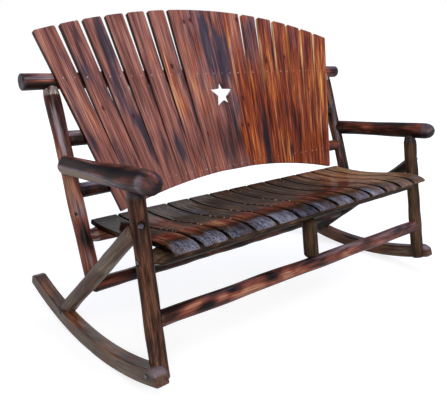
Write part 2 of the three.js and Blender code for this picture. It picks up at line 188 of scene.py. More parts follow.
# 1 for the camera's rays, reflections and what is seen through clear things, 0 for light on the wood.
def seenDirectly(tree):
    seen = addNode(tree, "ShaderNodeLightPath")
    either = addNode(tree, "ShaderNodeMath", {
        0: seen.outputs["Is Camera Ray"], 1: seen.outputs["Is Glossy Ray"],
    }, operation="MAXIMUM")
    return addNode(tree, "ShaderNodeMath", {
        0: either.outputs[0], 1: seen.outputs["Is Transmission Ray"],
    }, operation="MAXIMUM").outputs[0]


# Mixes a toward b by a share.
def blend(tree, share, a, b, mode="MIX"):
    mix = addNode(tree, "ShaderNodeMix", data_type="RGBA", blend_type=mode)
    for socket, value in zip((mix.inputs[0], mix.inputs[6], mix.inputs[7]), (share, a, b)):
        if isinstance(value, bpy.types.NodeSocket):
            tree.links.new(value, socket)
        else:
            socket.default_value = value
    return mix.outputs[2]


logLook = {
    "blotch": 46, "streak": 13, "fibre": 3.0,  # mm across the log
    "blotchPush": 1.4, "streakPush": 0.9,
    "colors": [
        (0.0, "#120d0d"), (0.26, "#291a16"), (0.45, "#492b24"), (0.62, "#6f4035"), (0.8, "#8f503e"),
        (1.0, "#b27e66"),
    ],
    "peeled": [(0.25, "#4a3f3d"), (0.5, "#8f807a"), (0.75, "#dfd4cb")],
    "cap": [(0.3, "#1f1b1d"), (0.5, "#3d373b"), (0.75, "#6a6166")], "capRing": 1.9,
    # the sheen ramp and the tan are painted highlights and a painted floor reflection, not wood colours
    "paintedSheenAndStain": [(0.3, "#51454a"), (0.5, "#786a70"), (0.75, "#9c8f96")], "tan": "#94806a",
    "knot": "#0e0908", "specular": 0.06, "coat": 0.1, "coatRoughness": 0.2,
}
calmLook = {
    **logLook, "blotchPush": 0.7, "streakPush": 0.7, "coat": 0.05, "specular": 0.03,
    "colors": [(0.0, "#17110d"), (0.3, "#30241a"), (0.5, "#4c3a2b"), (0.7, "#6b513f"), (1.0, "#8f6d55")],
}
legLook = {
    **logLook, "blotchPush": 1.0, "streakPush": 1.5, "coat": 0.07, "specular": 0.04,
    "colors": [
        (0.0, "#140f0c"), (0.28, "#2c1d16"), (0.46, "#4c3125"), (0.62, "#6b4836"), (0.8, "#836250"),
        (1.0, "#a3806a"),
    ],
}
timberLook = {
    "blotch": 80, "streak": 9, "fibre": 2.8,
    "blotchPush": 1.2, "streakPush": 0.9,
    "colors": [
        (0.0, "#1b1310"), (0.22, "#36231d"), (0.4, "#5b382b"), (0.58, "#665345"), (0.8, "#80705e"),
        (1.0, "#a08a70"),
    ],
    "peeled": [(0.25, "#6b5348"), (0.5, "#a08475"), (0.75, "#cdb6a6")],
    # on the rockers the cap ramp paints a pale blue-grey highlight on the upper front tip
    "cap": [(0.3, "#65575a"), (0.5, "#857579"), (0.72, "#a89a9e")], "capRing": 3.0,
    "paintedSheenAndStain": [(0.3, "#4a3128"), (0.5, "#70462f"), (0.75, "#996544")], "tan": "#94806a",
    "knot": "#241812", "specular": 0.12, "coat": 0.08, "coatRoughness": 0.35,
}


# Peeled pine scorched with a torch and lacquered: char in streaks, red wood where the flame was brief,
# pale wood where a drawknife cut the ends, all under a gloss that takes the sky. Broad sheens are painted
# into the colour as well: violet-grey painted highlights, and a tan painted reflection of the floor.
def torchedPine(name, look):
    material, tree, shader = newMaterial(name)
    grain = painted(tree, "grain", "Vector")
    heat = painted(tree, "warm")
    peel = painted(tree, "peel")
    knot = painted(tree, "knot")
    cap = painted(tree, "cap")
    paintedSheenAndStain = painted(tree, "paintedSheenAndStain")
    blotch = grainNoise(tree, grain, look["blotch"], 2.6, 2.0, 0.55, 0.6)
    streak = grainNoise(tree, grain, look["streak"], 9, 4.0, 0.6, 0.3)
    fibre = grainNoise(tree, grain, look["fibre"], 35, 2.0)
    warmth = pushed(tree, pushed(tree, heat, blotch, look["blotchPush"]), streak, look["streakPush"])
    wood = rampColor(tree, warmth, look["colors"])
    lines = rampColor(tree, fibre, [(0.36, "#9c9490"), (0.6, "#ffffff")])
    wood = blend(tree, 0.85, wood, lines, "MULTIPLY")
    # Painted sheen: a violet-grey painted highlight, turning tan where it is a painted reflection of the floor.
    paintedSheenColor = rampColor(tree, pushed(tree, fibre, streak, 1.0), look["paintedSheenAndStain"])
    paintedSheenColor = blend(tree, step(tree, paintedSheenAndStain, 1.05, 1.5), paintedSheenColor, linearColor(look["tan"]))
    wood = blend(tree, step(tree, pushed(tree, paintedSheenAndStain, streak, 0.8), 0.1, 0.9), wood, paintedSheenColor)
    wood = blend(tree, step(tree, knot, 0.3, 0.9), wood, linearColor(look["knot"]))
    pale = rampColor(tree, pushed(tree, fibre, streak, 0.8), look["peeled"])
    bare = step(tree, pushed(tree, peel, streak, 1.6), 0.35, 0.75)
    wood = blend(tree, bare, wood, pale)
    turned = grainNoise(tree, grain, look["capRing"] / 0.08, 0.08, 2.0)
    worn = rampColor(tree, pushed(tree, pushed(tree, 0.5, turned, 0.45), blotch, 1.4), look["cap"])
    wood = blend(tree, cap, wood, worn)
    rough = carried(tree, streak, 0.3, 0.7, 0.38, 0.6)
    relief = pushed(tree, pushed(tree, 0.5, fibre, 0.5), streak, 0.8)
    joinShader(tree, shader, look, wood, rough, relief, 0.5, 1.0)
    return material


boardLook = {
    "ring": 6, "blotch": 36, "band": 15, "streak": 5, "fibre": 2.2,  # mm across the board
    "ringPush": 0.15, "bandPush": 1.5, "streakPush": 1.2, "fibrePush": 1.0, "charPush": 1.0, "charFibre": 0.6,
    "red": [(0.0, "#412b2b"), (0.35, "#70473f"), (0.6, "#905d52"), (0.85, "#a97668"), (1.0, "#bb917f")],
    "amber": [(0.1, "#2a0d08"), (0.34, "#602412"), (0.54, "#883a1b"), (0.74, "#b6622a"), (0.95, "#e3a65c")],
    "burnt": [(0.2, "#2a2228"), (0.5, "#443841"), (0.8, "#67565f")],
    # edge colours: a painted highlight for the lit side faces, painted shade for the shaded ones
    "paintedEdgeHighlight": [(0.3, "#c07a38"), (0.7, "#ffe8bc")], "paintedEdgeShade": "#2a1713", "charTint": "#5a4844",
    "knot": "#48150c", "specular": 0.08, "coat": 0.1, "coatRoughness": 0.2,
}
slatLook = {
    "ring": 5, "blotch": 34, "band": 14, "streak": 5, "fibre": 2.2,
    "ringPush": 0.12, "bandPush": 1.2, "streakPush": 0.8, "fibrePush": 0.5, "charPush": 1.3, "charFibre": 1.4,
    "red": [(0.0, "#170e07"), (0.35, "#322011"), (0.6, "#493220"), (0.85, "#674b34"), (1.0, "#8a6a4c")],
    "amber": [(0.1, "#2c120c"), (0.36, "#58291f"), (0.56, "#7a4132"), (0.76, "#9a6242"), (1.0, "#b88c5c")],
    # the char ramp's light end, reached on the noses, is char and also a painted sky reflection
    "burnt": [(0.15, "#1f1e22"), (0.5, "#54525b"), (0.85, "#8d8e98")],
    # edge colours: painted glints along the seams, painted shade in them
    "paintedEdgeHighlight": [(0.3, "#8c7864"), (0.7, "#f4e2d0")], "paintedEdgeShade": "#150e09", "charTint": "#4a4038",
    "knot": "#5a1a10", "specular": 0.0, "coat": 0.08, "coatRoughness": 0.1,
}


# Flat-sawn fir, brushed and scorched: hard rings stand in lines along the board, the wood between them
# goes from wine red to amber, and the flame leaves violet-grey char in drifts. Light and shade are painted
# on the edges: a painted highlight on lit side faces and glints, painted shade on the others.
def brushedFir(name, look):
    material, tree, shader = newMaterial(name)
    grain = painted(tree, "grain", "Vector")
    amber = painted(tree, "amber")
    burn = painted(tree, "burn")
    knot = painted(tree, "knot")
    edge = painted(tree, "side")
    shade = painted(tree, "shade")
    blotch = grainNoise(tree, grain, look["blotch"], 3.5, 2.0, 0.55, 0.4)
    band = grainNoise(tree, grain, look["band"], 14, 3.0, 0.6, 0.3)
    streak = grainNoise(tree, grain, look["streak"], 40, 4.0, 0.6)
    fibre = grainNoise(tree, grain, look["fibre"], 60, 2.0)
    drawn = addNode(tree, "ShaderNodeMapping", {"Vector": grain, "Scale": (1, 1, 0.05)})
    rings = addNode(tree, "ShaderNodeTexWave", {
        "Vector": drawn.outputs[0], "Scale": 0.314 / (look["ring"] * mm), "Distortion": 9.0,
        "Detail": 2.0, "Detail Scale": 0.35,
    }, wave_type="BANDS", bands_direction="X").outputs["Fac"]
    tone = pushed(tree, pushed(tree, 0.5, band, look["bandPush"]), streak, look["streakPush"])
    tone = pushed(tree, pushed(tree, tone, fibre, look["fibrePush"]), rings, look["ringPush"])
    tone = plus(tree, tone, shade)
    red = rampColor(tree, tone, look["red"])
    gold = rampColor(tree, tone, look["amber"])
    calm = pushed(tree, pushed(tree, 0.5, band, look["charPush"]), fibre, look["charFibre"])
    calm = plus(tree, calm, shade)
    char = rampColor(tree, calm, look["burnt"])
    wood = blend(tree, step(tree, pushed(tree, amber, blotch, 1.6), 0.05, 0.95), red, gold)
    tinted = blend(tree, 1.0, wood, linearColor(look["charTint"]), "MULTIPLY")
    char = blend(tree, step(tree, amber, 0.35, 0.8), char, tinted)
    scorch = step(tree, pushed(tree, pushed(tree, burn, blotch, -1.8), band, -1.4), 0.2, 0.9)
    wood = blend(tree, scorch, wood, char)
    wood = blend(tree, step(tree, knot, 0.25, 0.9), wood, linearColor(look["knot"]))
    # Painted light on the side faces: a painted highlight where they are lit and for glints, painted shade
    # where they are not and in the seams.
    edgeHighlightColor = rampColor(tree, tone, look["paintedEdgeHighlight"])
    wood = blend(tree, step(tree, edge, 0.05, 1.0), wood, edgeHighlightColor)
    dark = addNode(tree, "ShaderNodeMath", {0: edge, 1: -1.0}, operation="MULTIPLY").outputs[0]
    wood = blend(tree, step(tree, dark, 0.05, 1.0), wood, linearColor(look["paintedEdgeShade"]))
    rough = carried(tree, tone, 0.0, 1.0, 0.55, 0.4)
    relief = pushed(tree, pushed(tree, 0.5, rings, 0.5), fibre, 0.8)
    joinShader(tree, shader, look, wood, rough, relief, 0.35, 0.7)
    return material


steelLook = {"colors": [(0.3, "#2e2e30"), (0.7, "#77777a")], "pit": 1.5, "roughness": (0.32, 0.55)}
screwSteel = {**steelLook, "colors": [(0.3, "#7c6c62"), (0.7, "#cdbeb4")]}


# Zinc-plated steel, rolled and dipped: a cool grey with a cloudy, slightly pitted shine.
def zincSteel(name, look):
    material, tree, shader = newMaterial(name)
    place = addNode(tree, "ShaderNodeTexCoord").outputs["Object"]
    cloud = addNode(tree, "ShaderNodeTexNoise", {
        "Vector": place, "Scale": 1 / (look["pit"] * mm), "Detail": 3.0,
    }).outputs[0]
    tint = rampColor(tree, cloud, look["colors"])
    rough = carried(tree, cloud, 0.0, 1.0, *look["roughness"])
    joinShader(tree, shader, look, tint, rough, cloud, 0.3, 0.1)
    shader.inputs["Metallic"].default_value = 1.0
    return material


materials = {
    "log": torchedPine("torched_lacquered_pine", logLook),
    "calmLog": torchedPine("evenly_browned_pine", calmLook),
    "legLog": torchedPine("streaked_scorched_pine", legLook),
    "timber": torchedPine("sanded_stained_pine", timberLook),
    "board": brushedFir("brushed_scorched_fir", boardLook),
    "slat": brushedFir("scorched_lacquered_fir", slatLook),
    "steel": zincSteel("zinc_plated_steel", steelLook),
    "screw": zincSteel("bright_zinc_plated_steel", screwSteel),
}
print("materials made")

# Meshes: whole arrays of points, closed and facing outward.


# Faces of a closed skin: quads between the rows, then a fan to each end's middle point.
def skinFaces(count, around):
    i = np.arange(count - 1)[:, None] * around
    j = np.arange(around)[None, :]
    k = (j + 1) % around
    quads = np.stack([i + j, i + around + j, i + around + k, i + k], -1).reshape(-1, 4)
    first, last, base = count * around, count * around + 1, (count - 1) * around
    caps = np.concatenate([
        np.stack([np.full(around, first), j[0], k[0]], -1),
        np.stack([np.full(around, last), base + k[0], base + j[0]], -1),
    ])
    return quads, caps


# The points of a skin: its rows and the middle point of each end.
def skinPoints(rows):
    return np.concatenate([rows.reshape(-1, 3), rows[:1].mean(1), rows[-1:].mean(1)])


def meshObject(name, points, faces):
    mesh = bpy.data.meshes.new(name)
    mesh.from_pydata(inFrame(points).tolist(), [], faces)
    mesh.update()
    return bpy.data.objects.new(name, mesh)


# Closed skin over rows of points: rows run along the piece, columns round it.
def closedSkin(name, rows):
    quads, caps = skinFaces(*rows.shape[:2])
    return meshObject(name, skinPoints(rows), quads.tolist() + caps.tolist())


# Where the vertices of a piece are in the drawing.
def pointsOf(piece):
    flat = np.empty(len(piece.data.vertices) * 3)
    piece.data.vertices.foreach_get("co", flat)
    return inDrawing(flat.reshape(-1, 3))


def setAttribute(mesh, name, values):
    values = np.asarray(values, np.float32)
    kind, key = ("FLOAT_VECTOR", "vector") if values.ndim == 2 else ("FLOAT", "value")
    mesh.attributes.new(name, kind, "POINT").data.foreach_set(key, values.ravel())


# Lays the grain's coordinates, moved by a seeded shift so that no two pieces look alike.
def layGrain(piece, seed, *coordinates):
    shift = np.random.default_rng(seed).uniform(-3, 3, 3)
    setAttribute(piece.data, "grain", np.stack(coordinates, -1) * mm + shift)


# One soft spot: exp(-((x - at) / wide)^2 - ((y - high) / tall)^2).
def spot(x, y, at, high, wide, tall):
    return np.exp(-((x - at) / wide) ** 2 - ((y - high) / tall) ** 2)


# Cuts the tools out of a piece and throws the tools away.
def carve(piece, tools):
    bpy.context.scene.collection.objects.link(piece)
    for tool in tools:
        bpy.context.scene.collection.objects.link(tool)
        cutter = piece.modifiers.new("cut", "BOOLEAN")
        cutter.operation, cutter.solver, cutter.object = "DIFFERENCE", "EXACT", tool
    graph = bpy.context.evaluated_depsgraph_get()
    carved = bpy.data.meshes.new_from_object(piece.evaluated_get(graph))
    piece.modifiers.clear()
    piece.data = carved
    for tool in tools:
        bpy.data.objects.remove(tool)
    bpy.context.scene.collection.objects.unlink(piece)
    return piece


# Hands a finished piece to the frame in place of its plain solid.
def dress(piece, node, finish, angle=38):
    bpy.context.scene.collection.objects.link(piece)
    piece.data.materials.clear()
    piece.data.materials.append(materials[finish])
    piece.data.shade_smooth()
    piece.data.set_sharp_from_angle(angle=math.radians(angle))
    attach(piece, "root")
    if node:
        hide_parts(node)
    return piece


# Two directions square to an axis: the first as near as it can be to the one given.
def squareTo(axis, near):
    first = np.asarray(near, float) - np.dot(near, axis) * axis
    first /= np.linalg.norm(first)
    return first, np.cross(first, axis)


# The round timbers.

endLook = {"tenon": 22, "pin": 12.5, "neck": 16, "sawnEdge": 3.5}


# Length of the tenon ahead of a cone.
def pinLength(form):
    return form[2] if len(form) > 2 else endLook["tenon"]


# Distance from the end and share of the radius for each ring of an end, from its middle outward.
def endRings(form, radius):
    if form[0] == "dome":
        turn = np.radians(np.linspace(7, 90, 22))
        return form[1] * (1 - np.cos(turn)), np.sin(turn) ** 0.85 - 0.008 * (np.arange(22) % 2) * (turn > 0.9)
    if form[0] == "cone":
        rise = np.linspace(0, 1, 8)
        pin, neck = endLook["pin"] / radius, endLook["neck"] / radius
        t = np.concatenate([[0, 0, pinLength(form)], pinLength(form) + form[1] * rise])
        return t, np.concatenate([[0.2, pin, pin], neck + (1 - neck) * rise ** 0.75])
    edge = endLook["sawnEdge"]
    turn = np.radians(np.linspace(0, 90, 4))
    t = np.concatenate([[0, 0], edge * (1 - np.cos(turn))])
    return t, np.concatenate([[0.33, 0.66], 1 - edge / radius * (1 - np.sin(turn))])


def endLength(form):
    if form[0] == "cone":
        return form[1] + pinLength(form)
    return form[1] if form[0] == "dome" else endLook["sawnEdge"]


# A log's start, length and axis, and two directions square to the axis.
def logFrame(log):
    start, end = np.array(log["start"], float), np.array(log["end"], float)
    length = np.linalg.norm(end - start)
    axis = (end - start) / length
    return start, length, axis, *squareTo(axis, log["facing"])


# Relief of a hand-peeled log: slow waves along and round it, and the long flats of a drawknife, where
# each wave is sin(n * angle + 2 pi * along / wavelength + phase).
def peeledRelief(angle, along, rng, depth):
    relief = np.zeros(np.broadcast(angle, along).shape)
    for _ in range(9):
        n, wave, phase = rng.integers(0, 5), rng.uniform(90, 520), rng.uniform(0, 2 * np.pi)
        relief += depth * rng.uniform(0.2, 0.55) * np.sin(n * angle + 2 * np.pi * along / wave + phase)
    flats = rng.integers(7, 11)
    twist = 0.5 * np.sin(2 * np.pi * along / rng.uniform(260, 600) + rng.uniform(0, 6))
    return relief - 0.45 * depth * np.abs(np.cos(flats * angle / 2 + twist))


# Skin of a log: rings about its axis, whose radius is the taper times the end's share plus the relief.
def makeLog(name, log):
    start, length, axis, first, second = logFrame(log)
    r0, r1 = log["radii"]
    t0, s0 = endRings(log["ends"][0], r0)
    t1, s1 = endRings(log["ends"][1], r1)
    between = np.linspace(t0[-1], length - t1[-1], max(3, int(length / 7)))[1:-1]
    t = np.concatenate([t0, between, (length - t1)[::-1]])
    share = np.concatenate([s0, np.ones(len(between)), s1[::-1]])
    angle = np.linspace(0, 2 * np.pi, 56, endpoint=False)[None, :]
    rng = np.random.default_rng(log["seed"])
    relief = peeledRelief(angle, t[:, None], rng, log.get("relief", 0.8))
    taper = r0 + (r1 - r0) * t / length - 0.6
    swell = log.get("swell", 0) * np.sin(np.pi * t / length) ** 2
    radius = ((taper + swell) * share)[:, None] + relief * np.minimum(share, 1)[:, None]
    for place, turn, size in log.get("knots", []):
        away = np.hypot(t[:, None] - place * length, radius * wrapped(angle - np.radians(turn)))
        radius = radius + 1.3 * np.exp(-(away / size) ** 2)
    bend = log.get("bend", 0) * np.sin(np.pi * t / length)[:, None, None]
    rows = (start + axis * t[:, None])[:, None, :] + bend * second
    rows = rows + radius[..., None] * (np.cos(angle)[..., None] * first + np.sin(angle)[..., None] * second)
    if "shave" in log:
        rows = log["shave"](rows)
    return closedSkin(name, rows)


# An angle brought to between -pi and pi.
def wrapped(angle):
    return (angle + np.pi) % (2 * np.pi) - np.pi


# Sum of soft spots, each strength * exp(-(along / length)^2 - (round / width)^2).
def spotSum(spots, along, across, wrap=False):
    total = np.zeros_like(along)
    for place, side, long, wide, strength in spots:
        off = np.degrees(wrapped(across - np.radians(side))) if wrap else across - side
        total += strength * np.exp(-((along - place) / long) ** 2 - (off / wide) ** 2)
    return total


# Lays the grain, the warmth that the flame left, the bare ends, painted sheens and the knots on a log's
# vertices.
def paintLog(piece, log):
    start, length, axis, first, second = logFrame(log)
    points = pointsOf(piece) - start
    along, x, y = points @ axis, points @ first, points @ second
    angle = np.arctan2(y, x)
    layGrain(piece, log["seed"] + 500, x, y, along)
    heat = log.get("heat", 0.3) + spotSum(log.get("spots", []), along / length, angle, True)
    setAttribute(piece.data, "warm", heat)
    for key, margin, soft in (("peel", 4, 6), ("cap", 2, 4)):
        laid = np.zeros(len(along))
        for amount, form, away in zip(log.get(key, (0, 0)), log["ends"], (along, length - along)):
            laid = np.maximum(laid, amount * np.clip((endLength(form) + margin - away) / soft, 0, 1))
        setAttribute(piece.data, key, laid)
    # painted sheen: highlights and reflections laid on as colour
    setAttribute(piece.data, "paintedSheenAndStain", spotSum(log.get("paintedSheenAndStain", []), along / length, angle, True))
    knot = np.zeros(len(along))
    for place, turn, size in log.get("knots", []):
        away = np.hypot(along - place * length, np.hypot(x, y) * wrapped(angle - np.radians(turn)))
        knot = np.maximum(knot, np.exp(-(away / (0.6 * size)) ** 2))
    setAttribute(piece.data, "knot", knot)


front, up = (0, -1, 0), (0, 0, 1)
fan = {
    "thick": 16, "behind": 14, "middle": -6, "corner": 6, "edge": 2.2, "aside": 8, "tight": 2,
    "lowHeight": 400, "highHeight": 980, "lowHalf": 508, "highHalf": 676,
    "centreLowHalf": 121, "centreHighHalf": 171,
    "topHeight": 994, "topFall": 83, "topMiddle": 9, "topHalf": 650,
    "lowEdge": 447, "lowFall": 60, "lowSpread": 502,
    "tightGap": 0.5, "openLow": 0.9, "closed": 510, "tightCorner": 1.8,
    # the open joints from the middle outward, left and right
    "openHigh": {-1: [17.2, 17.2, 17.2, 17.2, 17.5, 18], 1: [18, 18, 16.5, 13, 13, 12.5]},
    "starHeight": 705, "starRadius": 54, "starInner": 0.43, "starFlare": 6,
}
lean = math.radians(bench["postLean"])
boardUp = np.array([0, math.sin(lean), math.cos(lean)])
boardOut = np.array([0, -math.cos(lean), math.sin(lean)])
boardBack = np.array([0, postY(0), 0]) + boardOut * fan["behind"]


# Height on the boards' front face to the distance up the boards.
def upBoard(height):
    return (height - boardOut[2] * (fan["behind"] + fan["thick"])) / boardUp[2]


# Share of the way up the fan at a distance up the boards, and the fan's half width there.
def fanAt(s):
    low, high = upBoard(fan["lowHeight"]), upBoard(fan["highHeight"])
    share = (s - low) / (high - low)
    return share, fan["lowHalf"] + (fan["highHalf"] - fan["lowHalf"]) * share


# Points across, up and out of the boards' back, brought into the drawing.
def onBoards(x, s, n):
    return boardBack + x[..., None] * np.array([1.0, 0, 0]) + s[..., None] * boardUp + n[..., None] * boardOut


# Shaves off what stands in front of the boards' backs, inside the outline of the fan.
def shaveForBoards(rows):
    _, half = fanAt((rows - boardBack) @ boardUp)
    proud = (rows - boardBack) @ boardOut + 0.3
    cut = np.where((np.abs(rows[..., 0]) < half) & (proud > 0), proud, 0)
    return rows - cut[..., None] * boardOut


seat = {
    "half": 595, "count": 13, "gap": 5.4, "thick": 16, "edge": 4.0, "noseEdge": 7.0, "noseThin": 0.42,
    "noseIn": 1.6, "front": -27, "rear": 395, "high": 394, "dip": 28,
    "rise": [0.18, 0.06, 0, 0.02, 0.1, 0.32, 0.62, 0.86, 0.98, 1, 0.95, 0.81, 0.5],
    "run": [1, 0.94, 0.86, 0.76, 0.64, 0.51, 0.38, 0.28, 0.2, 0.135, 0.08, 0.035, 0],
}


# Depth and height along the top of a slat, from the rear to the front: a Catmull-Rom curve, whose
# piece between p1 and p2 is a cubic with slopes (p2 - p0) / 2 and (p3 - p1) / 2.
def seatLine(steps):
    run, rise = np.array(seat["run"]), np.array(seat["rise"])
    depth = seat["front"] + run * (seat["rear"] - seat["front"])
    knots = np.stack([depth, seat["high"] - seat["dip"] * (1 - rise)], -1)
    t = np.linspace(0, len(knots) - 1, steps)
    i = np.minimum(t.astype(int), len(knots) - 2)
    w = (t - i)[:, None]
    p0, p1 = knots[np.maximum(i - 1, 0)], knots[i]
    p2, p3 = knots[i + 1], knots[np.minimum(i + 2, len(knots) - 1)]
    m1, m2 = (p2 - p0) / 2, (p3 - p1) / 2
    return (2 * p1 - 2 * p2 + m1 + m2) * w ** 3 + (3 * p2 - 3 * p1 - 2 * m1 - m2) * w ** 2 + m1 * w + p1


seatTop = seatLine(400)[::-1]


def seatZ(y):
    return np.interp(y, seatTop[:, 0], seatTop[:, 1])


# Shaves off what stands above the undersides of the slats.
def shaveForSeat(rows):
    line = seatLine(120)[::-1]
    run = np.gradient(line, axis=0)
    run /= np.linalg.norm(run, axis=1)[:, None]
    under = line + np.stack([run[:, 1], -run[:, 0]], -1) * (seat["thick"] + 0.3)
    limit = np.interp(rows[..., 1], under[:, 0], under[:, 1])
    rows = rows.copy()
    inside = np.abs(rows[..., 0]) < seat["half"]
    rows[..., 2] = np.where(inside, np.minimum(rows[..., 2], limit), rows[..., 2])
    return rows


